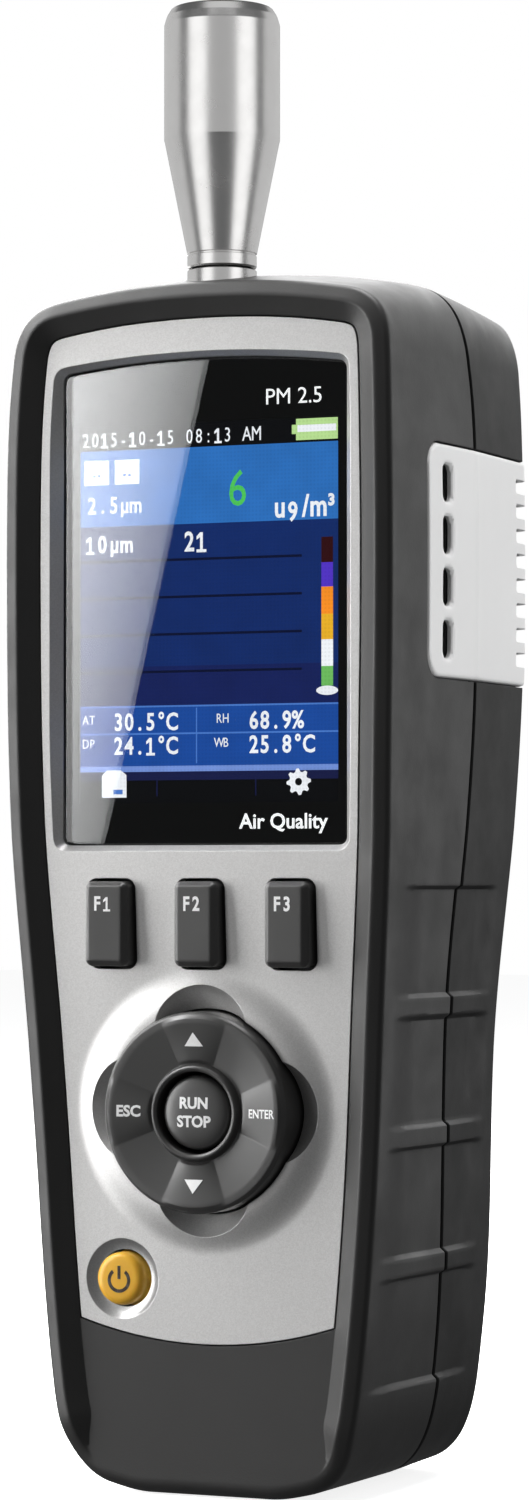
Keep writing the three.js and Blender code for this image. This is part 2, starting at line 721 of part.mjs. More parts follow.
function inletFitting() {
  const collar = INLET_BASE_Z - 0.9;
  return turnedZ([
    [1.8, 203.6], [THREAD_R, 203.6], [THREAD_R, collar], [6.4, collar], [6.4, INLET_BASE_Z - GAP],
    [THREAD_R, INLET_BASE_Z - GAP], [THREAD_R, 225.6], [1.8, 225.6], [1.8, 203.6],
  ], 16);
}

function sensorChamber() {
  const body = block([-15, 15], [-8, 14], [150, 190]);
  const airway = turnedZ(rod(3, 140, 200), 16);
  const beam = turnedX(rod(4.2, -30, -8), 16).translate([0, 3, 172]);
  const lightTrap = turnedX(rod(3, 8, 30), 16).translate([0, 3, 172]);
  return cut(body, airway, beam, lightTrap);
}

function laserModule() {
  return turnedX([[0, -24], [4.6, -24], [4.6, -15.3], [3.9, -15.3], [3.9, -9], [0, -9]], 16);
}

function detectorBoard() {
  const board = block([-9, 9], [14.3, 15.9], [162, 182]);
  return board.add(block([-4, 4], [15.5, 19], [168, 176]));
}

function intakeTube() {
  return hose([
    [0, INLET_Y, 203], [0, INLET_Y, 202], [0, -12, 200], [0, -3, 197.6], [0, 0, 193.4], [0, 0, 190.4],
  ], 2.4, 1.5);
}

function transferTube() {
  const { x, y, z1 } = BLOWER;
  return hose([[0, 0, 149.6], [0, 0, 147], [x, y, z1 + 3], [x, y, z1 + 0.4]], 3.2, 1.8);
}

// Blower: a drum with its inlet on top and its outlet towards the right-hand vent.
const BLOWER = { x: -1, y: 1.8, z0: 118, z1: 137.2, radius: 14 };

function blowerHousing() {
  const { x, y, z0, z1, radius } = BLOWER;
  const drum = turnedZ(rod(radius, z0, z1), 24).add(block([0, 22], [-radius, -radius + 10], [z0, z1]));
  const inside = turnedZ(rod(radius - 1.6, z0 + 1.6, z1 - 1.6), 24);
  const outlet = block([0, 40], [-radius + 1.6, -radius + 8.4], [z0 + 1.6, z1 - 1.6]);
  const inlet = turnedZ(rod(3, z1 - 5, z1 + 5), 16);
  return cut(drum, inside, outlet, inlet).translate([x, y, 0]);
}

function blowerRotor() {
  const { z0, z1 } = BLOWER;
  const hub = turnedZ([[0, z0 + 2.2], [10.4, z0 + 2.2], [10.4, z0 + 3.6], [4, z0 + 4.4], [4, z1 - 5], [0, z1 - 5]], 20);
  const blades = Array.from({ length: 9 }, (_, i) => {
    const blade = block([3.4, 11], [-0.5, 0.5], [z0 + 2.6, z1 - 4]);
    return blade.rotate([0, 0, i * 40]);
  });
  return union(hub, ...blades);
}

function airSensor() {
  const board = block([26.5, 27.7], [-12.5, 0], [158, 170]);
  return board.add(block([27.5, 29.5], [-9, -4], [161, 167]));
}

// ------------------------------------------------ power and sockets

function batteryPack() {
  const [z0, z1, y] = [BAY.z0 + 1, BAY.z1 - 8, BAY.y + 9.7];
  const cell = (x) => turnedZ(rod(9.3, z0, z1), 20).translate([x, y, 0]);
  return union(cell(-9.6), cell(9.6), block([-9.6, 9.6], [y - 9.2, y + 9.2], [z0, z1]));
}

function batteryConnector() {
  return block([-5, 5], [BAY.y + GAP, BAY.y + 8], [BAY.z1 - 7, BAY.z1 - GAP]);
}

function tripodInsert() {
  const face = backY(TRIPOD_Z) - 0.2;
  return turnedY([
    [TRIPOD_HOLE_R, TRIPOD_FRONT_Y], [5, TRIPOD_FRONT_Y], [5, face - 3], [4.5, face - 2.4], [5, face - 1.8],
    [5, face], [TRIPOD_HOLE_R, face], [TRIPOD_HOLE_R, TRIPOD_FRONT_Y],
  ], 16);
}

function usbSocket() {
  const { width, height, length, z } = USB;
  const front = -sideX(z) + WALL + 0.8;
  const shell = block([front, front + length], [-width / 2 - 0.8, width / 2 + 0.8], [-height / 2 - 0.8, height / 2 + 0.8]);
  const mouth = block([front - 1, front + length - 1.5], [-width / 2, width / 2], [-height / 2, height / 2]);
  const tongue = block([front + 1.5, front + length - 1], [-0.6, 0.6], [-height / 2 + 1, height / 2 - 1]);
  return shell.subtract(mouth).add(tongue).translate([0, PORT_Y, z]);
}

function dcJack() {
  const front = -sideX(JACK_Z) + WALL + 0.8;
  const body = block([front, front + 11], [-4.6, 4.6], [-5.4, 5.4]);
  const mouth = turnedX(rod(JACK_R, front - 1, front + 9));
  const pin = turnedX(rod(0.9, front + 1, front + 10), 12);
  return body.subtract(mouth).add(pin).translate([0, PORT_Y, JACK_Z]);
}

function portCover() {
  const { depth, height, thick } = PORT_COVER;
  const outside = -sideX(PORT_Z) - 0.4;
  const flap = alongX(roundedRect(PORT_Y, PORT_Z, depth, height, 2), outside, outside + thick, 2);
  const lift = block([outside - 0.6, outside + 0.5], [PORT_Y - 3, PORT_Y + 3], [PORT_Z + height / 2 - 2, PORT_Z + height / 2 - 0.8]);
  return flap.add(lift);
}

function buzzer() {
  return turnedY([[1, -10.9], [6, -10.9], [6, -6.9], [1, -6.9], [1, -10.9]], 20);
}

// ---------------------------------------------------------------- assembly

piece('front_shell', frontShell(), COLOR.housing, 0.75);
piece('back_shell', backShell(), COLOR.housing, 0.75);
piece('front_panel', frontPanel(), COLOR.silver, 0.45, 0.3);
piece('vent_band', ventBand(), COLOR.vent, 0.55);
piece('display_window', displayWindow(), COLOR.glass, 0.05);
piece('lcd_frame', lcdFrame(), COLOR.steel, 0.4, 1);
piece('lcd_module', lcdModule(), COLOR.black, 0.3);

fKeyXs.forEach((x, i) => {
  piece(`key_f${i + 1}`, functionKey(), COLOR.key, 0.6, 0, [x, 0, F_KEY_Z]);
});
piece('nav_ring', navRing(), COLOR.key, 0.6, 0, [0, 0, NAV_Z]);
piece('nav_web', navWeb(), COLOR.rubber, 0.8, 0, [0, 0, NAV_Z]);
piece('run_stop_button', runStopButton(), COLOR.key, 0.6, 0, [0, 0, NAV_Z]);
piece('power_button', powerButton(), COLOR.amber, 0.5, 0, [POWER_X, 0, POWER_Z]);
piece('keypad_membrane', keypadMembrane(), COLOR.rubber, 0.8);
piece('keypad_board', keypadBoard(), COLOR.board, 0.5);
piece('main_board', mainBoard(), COLOR.board, 0.5);
piece('buzzer', buzzer(), COLOR.black, 0.5, 0, [15, 0, 40]);

piece('inlet_probe', inletProbe(), COLOR.steel, 0.3, 1, [0, INLET_Y, 0]);
piece('probe_oring', probeOring(), COLOR.rubber, 0.6, 0, [0, INLET_Y, 0]);
piece('inlet_fitting', inletFitting(), COLOR.steel, 0.35, 1, [0, INLET_Y, 0]);
piece('intake_tube', intakeTube(), COLOR.rubber, 0.6);
piece('sensor_chamber', sensorChamber(), COLOR.black, 0.5);
piece('laser_module', laserModule(), COLOR.brass, 0.3, 1, [0, 3, 172]);
piece('detector_board', detectorBoard(), COLOR.board, 0.5);
piece('transfer_tube', transferTube(), COLOR.rubber, 0.6);
piece('blower_housing', blowerHousing(), COLOR.black, 0.5);
piece('blower_rotor', blowerRotor(), COLOR.vent, 0.5, 0, [BLOWER.x, BLOWER.y, 0]);
piece('air_sensor', airSensor(), COLOR.board, 0.5);

piece('battery_pack', batteryPack(), COLOR.cell, 0.5);
piece('battery_connector', batteryConnector(), COLOR.black, 0.5);
piece('battery_door', batteryDoor(), COLOR.housing, 0.75);
piece('tripod_insert', tripodInsert(), COLOR.brass, 0.35, 1, [0, 0, TRIPOD_Z]);
piece('usb_socket', usbSocket(), COLOR.steel, 0.35, 1);
piece('dc_jack', dcJack(), COLOR.black, 0.5);
piece('port_cover', portCover(), COLOR.rubber, 0.8);
SCREWS.forEach(([x, z], i) => {
  piece(`case_screw_${i + 1}`, caseScrew(z), COLOR.steel, 0.35, 1, [x, 0, z]);
});

export default monitor;
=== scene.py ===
"""Looks for the air quality monitor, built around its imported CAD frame. Blender 4.5.

Shapes are worked out in millimetres, in the CAD's frame: +Z up, the display facing -Y.
Every mesh is turned into metres when it is made.
"""
import math
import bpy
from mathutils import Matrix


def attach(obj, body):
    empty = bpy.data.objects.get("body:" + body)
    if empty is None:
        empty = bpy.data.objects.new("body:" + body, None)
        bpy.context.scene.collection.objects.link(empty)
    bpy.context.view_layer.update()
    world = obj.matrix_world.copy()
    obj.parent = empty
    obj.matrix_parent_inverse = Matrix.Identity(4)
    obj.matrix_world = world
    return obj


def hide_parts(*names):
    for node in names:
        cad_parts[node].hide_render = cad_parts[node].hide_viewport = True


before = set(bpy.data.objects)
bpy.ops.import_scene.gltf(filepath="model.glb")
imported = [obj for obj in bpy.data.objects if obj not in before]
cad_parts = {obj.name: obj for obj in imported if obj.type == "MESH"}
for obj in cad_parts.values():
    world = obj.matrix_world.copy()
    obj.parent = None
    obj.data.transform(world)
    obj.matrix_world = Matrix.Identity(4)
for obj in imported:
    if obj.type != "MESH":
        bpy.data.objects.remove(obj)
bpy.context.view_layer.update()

from types import SimpleNamespace

import bmesh
import bpy
import numpy as np
from mathutils import Vector

MM = 0.001
FAR = 60.0  # long enough for a cutter to pass right through the case

# ------- driving dimensions, in mm

CROWN_Z = 211.3
FRONT_GRIP_Y = -24.5
FRONT_DISPLAY_Y = -28.0
FRONT_RISE_Z = (50, 138)         # the front comes forward between these heights
FRONT_FALL = (1.4, 178, 26)      # and falls back at the top: by how much, from where, over what height
BACK_Y = 37.5
BACK_WAIST = (6.8, (78, 150))    # the back is this much hollower below these heights
BACK_HEEL = (3.6, (30, 78))      # and this much fuller below these
SEAM_Y = 8.6                     # the parting line follows the back more gently
SEAM_WAIST = (4.9, (88, 145))
SEAM_HEEL = (5.8, (17, 88))
SEAM_FALL = (2, 180, 22)
BACK_EDGE_R = 4.0
WALL = 2.6
GAP = 0.3
SEAM_GAP = 0.9
SEAM_CHAMFER = 0.25
TONGUE_IN = 1.6          # the back shell's lip stands this far in and closes the seam
PARTING_SWELL = 0.8
CROWN_SWELL = 2.6
BACK_CROWN = 1.6         # what is left of the crown's swell where the back edge begins
BACK_DRAFT = 0.4

PANEL_IN = 6.2
PANEL_DEPTH = 2.2
PANEL_THICK = 2.4
SHELL_FLOOR_DEPTH = 4.9
SHELL_FLOOR_BACK = 7.2
PANEL_EDGE_Z = 26.4
PANEL_EDGE_R = 79.0
ROLL_DEPTH = 2.0         # how far behind the crest the rim's outer roll ends
FOOT_ROLL = (2.6, 4.4)   # inset and depth of the roll into the underside
FOOT_Z = (3.0, 13.0)     # the rim sinks to the recess floor between these heights

GLASS_Y = -23.6
GLASS_THICK = 1.6
GLASS_HALF_W = 27.1
GLASS_Z0 = 113.3
GLASS_SIDE_Z = 195.9
GLASS_CROWN_Z = 197.7
WINDOW_SLOPE = 0.73
WINDOW_LIP = 3.4
VIEW_HALF_W = 25.6
SCREEN = SimpleNamespace(half_w=25.0, z0=120.4, height=66.5, y=-21.6)

KEY = SimpleNamespace(width=8.3, height=14.8, corner=1.3, z=99.3, xs=(-17.3, 0.0, 17.3), face=-27.6, gap=0.55)
NAV = SimpleNamespace(z=66.7, radius=17.5, face=-27.4, bore=7.15, collar=7.85, gap=0.4)
NAV_FLANGE = SimpleNamespace(radius=18.9, y0=-16.2, y1=-15.5, skirt=11, inside=-19.2)
SECTOR_HALF = 22         # degrees, half the width of one of the four raised sectors
SECTOR_RISE = 0.55
SECTOR_FADE = ((8.5, 9.2), (16.2, 16.9))  # the radii over which the sectors rise and sink
DISH_DROP = 1.15         # the ring's face falls this much towards its middle
MOUND = SimpleNamespace(top=18.3, foot=25.0, rise=1.3)
SCOOP = SimpleNamespace(ball=11.5, mouth=7.65, centre=13.45)
RUN_R = 6.5
POWER = SimpleNamespace(x=-16.3, z=37.2, radius=4.65, face=-23.6, dish=7.0, dish_depth=1.4)

INLET_Y = -16.0
INLET_BASE_Z = 214.3
INLET_COLLAR_Z = 211.2   # the socket's collar stands in a shallow seat in the crown
THREAD_R = 3.9
INLET_TOP_Z = 260.4
INLET_R = 10.2
INLET_NECK_R = 6.1
INLET_SHOULDER_Z = 237.1

VENT = SimpleNamespace(z0=142.2, z1=183.0, front=-12.0, corner=4.5, proud=0.3, sunk=0.9, round=0.7)
VENT_EDGE = 1.2          # the band's mesh is finer this near to its upper and lower edges
VENT_MIDDLE = (VENT.z0 + VENT.z1) / 2
SLOT = SimpleNamespace(width=4.0, height=6.6, y=-3.8, pitch=9.1, count=4, corner=1.5, lip=0.8)
LOUVRE = SimpleNamespace(height=2.6, depth=8.0, pitch=4.5, count=8, inner_x=20.0, corner=0.7)

GRIP = SimpleNamespace(
    top=105.6, pitch=22.6, height=18.8, count=4, depth=1.0, edge=0.9, front=(-21, -8), back=(15, 25),
)

BAY = SimpleNamespace(half_w=21.0, z0=20.0, z1=94.0, y=8.9, wall=1.6)
DOOR = SimpleNamespace(half_w=22.5, z0=17.5, z1=97.0, thick=1.8, corner=3)
TRIPOD_Z = 120.0
TRIPOD_FRONT_Y = 25.5
SCREWS = [(-25.0, 196.0), (25.0, 196.0), (-19.5, 10.5), (19.5, 10.5)]
TRIPOD_BOSS_R = 7.5
INSERT_R = 5.0
SCREW_POST_R = 4.2
SCREW_HEAD_R = 2.7
SCREW_HEAD_DEPTH = 4.6
SCREW_R = 1.3
PORT = SimpleNamespace(
    y=-6.0, z=123.0, depth=15.0, height=25.0, thick=1.6, proud=0.4, inside_x=-20,
    usb_z=116.5, usb_size=(4.4, 9.0), jack_z=128.5, jack_r=3.5,
)
THREAD_PITCH = 1.27      # 1/4-20

CAPITAL_HEIGHT = 0.73    # of Blender's built-in font, as a share of its size
CAMERA = SimpleNamespace(azimuth=25.0, distance=0.8036, height=0.107, pitch=1.65, side=0.0007, lens=108.0)
FLOOR_HALF, FLOOR_Z = 4000, -0.3
ROOM_LIGHT = 0.13
GLARE = SimpleNamespace(place=(-0.3258, -0.6, 0.201), size=(0.06, 0.5), watts=2.4, lean=-13.5, edge=0.25)
PROBE_CARDS = [          # angle from the camera, elevation, width and height in metres, watts
    (0, 16, 0.8, 0.45, 0.42), (-50, 0, 0.5, 1.0, 2.0), (50, 0, 0.5, 1.0, 2.0),
    (-128, 0, 1.1, 1.0, 1.9), (128, 0, 1.1, 1.0, 1.9), (0, 70, 0.6, 0.6, 0.7),
]

# ------- case surface


def smooth(value, low, high):
    t = np.clip((value - low) / (high - low), 0, 1)
    return t * t * (3 - 2 * t)


def lerp(a, b, t):
    return a + (b - a) * t


def low_down(z, amount, heights):
    """The amount below those two heights, fading to nothing above them."""
    return amount * (1 - smooth(z, *heights))


def fall(z, amount, start, length):
    return amount * np.maximum(0, (z - start) / length) ** 2


def front_y(z):
    return lerp(FRONT_GRIP_Y, FRONT_DISPLAY_Y, smooth(z, *FRONT_RISE_Z)) + fall(z, *FRONT_FALL)


def back_y(z):
    return BACK_Y - low_down(z, *BACK_WAIST) + low_down(z, *BACK_HEEL)


def seam_y(z):
    return SEAM_Y - low_down(z, *SEAM_WAIST) + low_down(z, *SEAM_HEEL) - fall(z, *SEAM_FALL)


# Right half of the outline in front view, crown to base: Bezier points and the spacing along each.
OUTLINE = [
    ((0, CROWN_Z), (12, CROWN_Z), (20, 210.4), (28, 209.0), 1.0),
    ((28, 209.0), (33.4, 208.0), (36.2, 204.6), (36.45, 198), 0.5),
    ((36.45, 198), (37.6, 184), (37.5, 150), (36.6, 117), 0.7),
    ((36.6, 117), (36.2, 105), (34.7, 89), (33.95, 75), 0.35),
    ((33.95, 75), (32.8, 55), (31.6, 34), (29.3, 17), 0.35),
    ((29.3, 17), (27.9, 7.5), (25, 2.6), (19, 1.2), 0.5),
    ((19, 1.2), (16.5, 0.6), (14, 0), (11.5, 0), 0.8),
    ((11.5, 0), (8, 0), (4, 0), (0, 0), 2.0),
]


def outline_stations():
    """Points along the half outline with their outward normals."""
    points, tangents = [], []
    for p0, p1, p2, p3, spacing in OUTLINE:
        p0, p1, p2, p3 = map(np.array, (p0, p1, p2, p3))
        steps = max(2, round(float(np.linalg.norm(p3 - p0)) / spacing))
        t = np.arange(steps)[:, None] / steps
        s = 1 - t
        points.append(s ** 3 * p0 + 3 * s ** 2 * t * p1 + 3 * s * t ** 2 * p2 + t ** 3 * p3)
        tangents.append(s ** 2 * (p1 - p0) + 2 * s * t * (p2 - p1) + t ** 2 * (p3 - p2))
    points = np.vstack([*points, [[0, 0]]])
    tangents = np.vstack([*tangents, [[-1, 0]]])
    tangents /= np.linalg.norm(tangents, axis=1)[:, None]
    return SimpleNamespace(x=points[:, 0], z=points[:, 1], nx=-tangents[:, 1], nz=tangents[:, 0])


STATION = outline_stations()
CROWN = np.maximum(0, STATION.nz) ** 2   # 1 on top of the case, 0 on its sides
FOOT = np.maximum(0, -STATION.nz)        # 1 underneath


def ring(inset, depth):
    """One closed ring round the case: the outline moved in by inset and back to depth(z)."""
    z = STATION.z - STATION.nz * inset
    x = STATION.x - STATION.nx * inset
    right = np.column_stack([x, depth(z) + 0 * z, z])
    left = right[-2:0:-1] * (-1, 1, 1)
    return np.vstack([right, left])


def grip_recess(z, y):
    """Depth of the four shallow finger recesses in each side of the case."""
    along = smooth(y, *GRIP.front) * (1 - smooth(y, *GRIP.back))
    half = GRIP.edge / 2
    total = 0
    for i in range(GRIP.count):
        top = GRIP.top - i * GRIP.pitch
        bottom = top - GRIP.height
        total = total + smooth(z, bottom - half, bottom + half) * (1 - smooth(z, top - half, top + half))
    return GRIP.depth * along * total


def side_ring(inset, depth):
    """A ring on the side walls, with the finger recesses pressed in."""
    plain = ring(inset, depth)
    half = len(STATION.x)
    recess = grip_recess(plain[:half, 2], plain[:half, 1]) * (STATION.nx > 0.9)
    return ring(inset + recess, depth)


# ------- solids


def mesh_from(points, faces):
    """A closed mesh, in metres, with its faces turned outwards."""
    mesh = bpy.data.meshes.new("solid")
    mesh.from_pydata((np.asarray(points, float) * MM).tolist(), [], faces)
    work = bmesh.new()
    work.from_mesh(mesh)
    bmesh.ops.recalc_face_normals(work, faces=work.faces)
    work.to_mesh(mesh)
    work.free()
    return mesh


def skin(rings, capped=True):
    """Quads between rings of equal length, with flat caps at the ends."""
    count = len(rings[0])
    i = np.arange(count)
    strip = np.column_stack([i, (i + 1) % count, (i + 1) % count + count, i + count])
    faces = np.vstack([strip + k * count for k in range(len(rings) - 1)]).tolist()
    if capped:
        faces.append(list(range(count))[::-1])
        faces.append(list(range((len(rings) - 1) * count, len(rings) * count)))
    return np.vstack(rings), faces


def loft(rings):
    """Closed solid through rings of the case, capped straight across from side to side."""
    points, faces = skin(rings, capped=False)
    count = len(rings[0])
    last = (len(rings) - 1) * count
    for i in range(count // 2):
        cap = list(dict.fromkeys([i, i + 1, (count - i - 1) % count, (count - i) % count]))
        faces.append(cap[::-1])
        faces.append([last + k for k in cap])
    return mesh_from(points, faces)


def slab(front, back):
    """Closed solid between two equal grids of points (rows, columns, 3)."""
    rows, columns = front.shape[:2]
    index = np.arange(rows * columns).reshape(rows, columns)
    quads = np.stack([index[:-1, :-1], index[:-1, 1:], index[1:, 1:], index[1:, :-1]], -1).reshape(-1, 4)
    border = np.concatenate([index[0], index[1:, -1], index[-1, -2::-1], index[-2:0:-1, 0]])
    following = np.roll(border, -1)
    size = rows * columns
    sides = np.column_stack([border, following, following + size, border + size])
    faces = np.vstack([quads[:, ::-1], quads + size, sides]).tolist()
    return mesh_from(np.vstack([front.reshape(-1, 3), back.reshape(-1, 3)]), faces)


def on_y(shape, y):
    """A front-view outline (x, z) placed at depth y."""
    shape = np.asarray(shape, float)
    return np.column_stack([shape[:, 0], np.full(len(shape), y), shape[:, 1]])


def on_x(shape, x):
    """A side-view outline (y, z) placed at x."""
    shape = np.asarray(shape, float)
    return np.column_stack([np.full(len(shape), x), shape])


def prism(shape, y0, y1):
    return mesh_from(*skin([on_y(shape, y0), on_y(shape, y1)]))


def prism_x(shape, x0, x1):
    return mesh_from(*skin([on_x(shape, x0), on_x(shape, x1)]))


def block(x, y, z):
    return prism([(x[0], z[0]), (x[1], z[0]), (x[1], z[1]), (x[0], z[1])], y[0], y[1])


def rounded_rect(u, v, width, height, radius, steps=8):
    corners = [(1, 1), (-1, 1), (-1, -1), (1, -1)]
    points = []
    for turn, (su, sv) in enumerate(corners):
        centre = (u + su * (width / 2 - radius), v + sv * (height / 2 - radius))
        for k in range(steps + 1):
            angle = math.pi / 2 * (turn + k / steps)
            points.append((centre[0] + radius * math.cos(angle), centre[1] + radius * math.sin(angle)))
    return points


def rounded_distance(u, v, width, height, radius):
    """Distance to a rounded rectangle centred on 0, negative inside it."""
    du = np.abs(u) - (width / 2 - radius)
    dv = np.abs(v) - (height / 2 - radius)
    return np.hypot(np.maximum(du, 0), np.maximum(dv, 0)) + np.minimum(np.maximum(du, dv), 0) - radius


def roll_off(distance, radius):
    """Drop of a surface that rolls over an edge of that radius, at a distance inside the edge."""
    near = np.clip(radius - distance, 0, radius)
    return radius - np.sqrt(radius ** 2 - near ** 2)


def turned(profile, axis, centre, segments=96, lift=None):
    """Solid of revolution from a run of (radius, along) points about the Y, Z or X axis.

    lift(radius, along, angle) moves points along the axis, so a turned face can carry relief.
    """
    angle = np.arange(segments) * 2 * math.pi / segments
    rows, points = [], []
    for radius, along in profile:
        if radius == 0:
            rows.append([len(points)] * segments)
            points.append((0.0, 0.0, along))
            continue
        rows.append(list(range(len(points), len(points) + segments)))
        rise = lift(radius, along, angle) if lift else 0 * angle
        points.extend(zip(radius * np.cos(angle), radius * np.sin(angle), along + rise))
    faces = []
    closed = profile[0][0] > 0
    for k in range(len(rows) - (0 if closed else 1)):
        a, b = rows[k], rows[(k + 1) % len(rows)]
        for j in range(segments):
            n = (j + 1) % segments
            faces.append(list(dict.fromkeys([a[j], a[n], b[n], b[j]])))
    u, v, w = np.array(points).T
    x, y, z = centre
    placed = {"Y": (x + u, y + w, z + v), "Z": (x + u, y + v, z + w), "X": (x + w, y + u, z + v)}[axis]
    return mesh_from(np.column_stack(placed), faces)


def below(face, drops):
    """A turned face's profile from (radius, drop behind the face)."""
    return [(radius, face + drop) for radius, drop in drops]


def peg(radius, x, z, y0, y1, segments=96):
    return turned([(0, y0), (radius, y0), (radius, y1), (0, y1)], "Y", (x, 0, z), segments)


def new_object(name, data):
    """An object linked into the scene."""
    item = bpy.data.objects.new(name, data)
    bpy.context.scene.collection.objects.link(item)
    return item


def take_mesh(item):
    """The object's mesh with its modifiers applied; the object itself is removed."""
    evaluated = item.evaluated_get(bpy.context.evaluated_depsgraph_get())
    mesh = bpy.data.meshes.new_from_object(evaluated)
    bpy.data.objects.remove(item)
    return mesh


def combine(mesh, other, operation):
    subject = new_object("subject", mesh)
    tool = new_object("tool", other)
    modifier = subject.modifiers.new("combine", "BOOLEAN")
    modifier.object = tool
    modifier.operation = operation
    modifier.solver = "MANIFOLD"
    result = take_mesh(subject)
    bpy.data.objects.remove(tool)
    if not result.polygons:
        raise RuntimeError(f"nothing is left after {operation}")
    return result


def cut(mesh, *cutters):
    for cutter in cutters:
        mesh = combine(mesh, cutter, "DIFFERENCE")
    return mesh


def join(mesh, *others):
    for other in others:
        mesh = combine(mesh, other, "UNION")
    return mesh


def keep(mesh, *limits):
    for limit in limits:
        mesh = combine(mesh, limit, "INTERSECT")
    return mesh


def add_piece(name, mesh, body, material, replaces=None, crease=28):
    """Puts a finished mesh in the scene as a visible piece that rides on a body."""
    mesh.name = name
    mesh.materials.clear()
    for item in material if isinstance(material, list) else [material]:
        mesh.materials.append(item)
    mesh.polygons.foreach_set("use_smooth", [True] * len(mesh.polygons))
    mesh.set_sharp_from_angle(angle=math.radians(crease))
    piece = new_object(name, mesh)
    piece.modifiers.new("flat_faces_stay_flat", "WEIGHTED_NORMAL").keep_sharp = True
    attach(piece, body)
    if replaces:
        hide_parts(replaces)
    return piece


# ------- materials


class Nodes:
    """Short way to build a node tree."""

    def __init__(self, tree):
        self.tree = tree

    def add(self, kind, *values, **inputs):
        """A node whose first sockets take values, in order, and whose named sockets take inputs."""
        node = self.tree.nodes.new("ShaderNode" + kind)
        for key, value in (*enumerate(values), *inputs.items()):
            self.set(node, key, value)
        return node

    def set(self, node, key, value):
        socket = node.inputs[key if isinstance(key, int) else key.replace("_", " ")]
        if isinstance(value, bpy.types.NodeSocket):
            self.tree.links.new(value, socket)
        else:
            socket.default_value = value

    def span(self, value, low, high, source=(0.0, 1.0)):
        return self.add("MapRange", value, *source, low, high).outputs[0]


class Finish(Nodes):
    """A material's node tree, with the texture steps that the finishes share."""

    def __init__(self, name):
        self.material = bpy.data.materials.new(name)
        self.material.use_nodes = True
        super().__init__(self.material.node_tree)
        self.tree.nodes.clear()
        self.output = self.add("OutputMaterial")
        self.where = self.add("TexCoord").outputs["Object"]

    def noise(self, scale, detail=3.0, roughness=0.55):
        node = self.add("TexNoise", Scale=scale, Detail=detail, Roughness=roughness, Vector=self.where)
        return node.outputs["Fac"]

    def uneven(self, noise, low, high):
        return self.span(noise, low, high, (0.3, 0.7))

    def blend(self, factor, first, second):
        node = self.add("Mix")
        node.data_type = "RGBA"
        for socket, value in ((0, factor), (6, first), (7, second)):
            self.set(node, socket, value)
        return node.outputs[2]

    def mottled(self, noise, reach, first, second):
        """The first colour, clouded by up to that reach of the second."""
        return self.blend(self.span(noise, 0.0, reach, (0.35, 0.7)), first, second)

    def bump(self, height, distance, strength=1.0, edge=None):
        normal = self.add("Bump", Height=height, Distance=distance * MM, Strength=strength)
        if edge:
            corner = self.add("Bevel", Radius=edge * MM)
            corner.samples = 4
            self.set(normal, "Normal", corner.outputs[0])
        return normal.outputs[0]

    def waves(self, direction, **inputs):
        node = self.add("TexWave", Vector=self.where, **inputs)
        node.bands_direction = direction
        return node.outputs["Fac"]

    def surface(self, **inputs):
        return self.shade(self.add("BsdfPrincipled", **inputs))

    def shade(self, shader):
        self.set(self.output, 0, shader.outputs[0])
        return self.material


def grey(value, warm=0.0):
    return (value * (1 + warm), value, value * (1 - warm), 1)


def srgb(r, g, b):
    return (*[((c / 255 + 0.055) / 1.055) ** 2.4 if c > 10 else c / 255 / 12.92 for c in (r, g, b)], 1)


def moulded(name, colour, worn, roughness, grain=0.03, grain_scale=2600, edge=0.25, specular=0.5):
    """Spark-eroded injection-moulded plastic: fine grain, faint clouding, slightly polished edges."""
    n = Finish(name)
    cloud = n.noise(45, 4)
    fine = n.noise(grain_scale, 2)
    wear = n.span(n.add("NewGeometry").outputs["Pointiness"], 0.0, 0.5, (0.5, 0.62))
    tone = n.blend(wear, n.mottled(cloud, 0.22, colour, worn), worn)
    rough = n.uneven(n.noise(120, 4), roughness - 0.05, roughness + 0.06)
    relief = n.bump(fine, grain, 0.6, edge)
    return n.surface(Base_Color=tone, Roughness=rough, Normal=relief, Specular_IOR_Level=specular)


def silver_paint():
    """Satin metallic paint on plastic: fine flake, faint orange peel."""
    n = Finish("silver_paint")
    flake = n.add("TexVoronoi", Scale=5200, Vector=n.where).outputs["Color"]
    peel = n.noise(900, 2)
    lightness = n.add("SeparateColor", Color=flake).outputs[0]
    tone = n.blend(n.span(lightness, 0.0, 1.0), grey(0.60, 0.012), grey(0.70, 0.008))
    tone = n.mottled(n.noise(30, 3), 0.25, tone, grey(0.58, 0.01))
    return n.surface(
        Base_Color=tone, Metallic=0.75, Roughness=n.span(lightness, 0.38, 0.46),
        Normal=n.bump(peel, 0.01, 0.3, 0.2), Coat_Weight=0.1, Coat_Roughness=0.3,
    )


def turned_steel():
    """Fine-turned stainless steel, with the light drawn out round the axis."""
    n = Finish("turned_steel")
    rings = n.waves("Z", Scale=2200, Distortion=0.1, Detail=2, Detail_Scale=1.5)
    tangent = n.add("Tangent")
    tangent.direction_type = "RADIAL"
    tangent.axis = "Z"
    smear = n.noise(260, 3)
    return n.surface(
        Base_Color=n.mottled(smear, 0.5, grey(0.72, 0.01), grey(0.68, 0.012)),
        Metallic=1.0, Roughness=n.uneven(smear, 0.24, 0.28), Anisotropic=0.4,
        Tangent=tangent.outputs[0], Normal=n.bump(rings, 0.003, 0.15),
    )


def plain_metal(name, colour, roughness):
    n = Finish(name)
    scratch = n.noise(700, 5)
    rough = n.uneven(scratch, roughness - 0.08, roughness + 0.1)
    return n.surface(Base_Color=colour, Metallic=1.0, Roughness=rough, Normal=n.bump(scratch, 0.01, 0.3, 0.1))


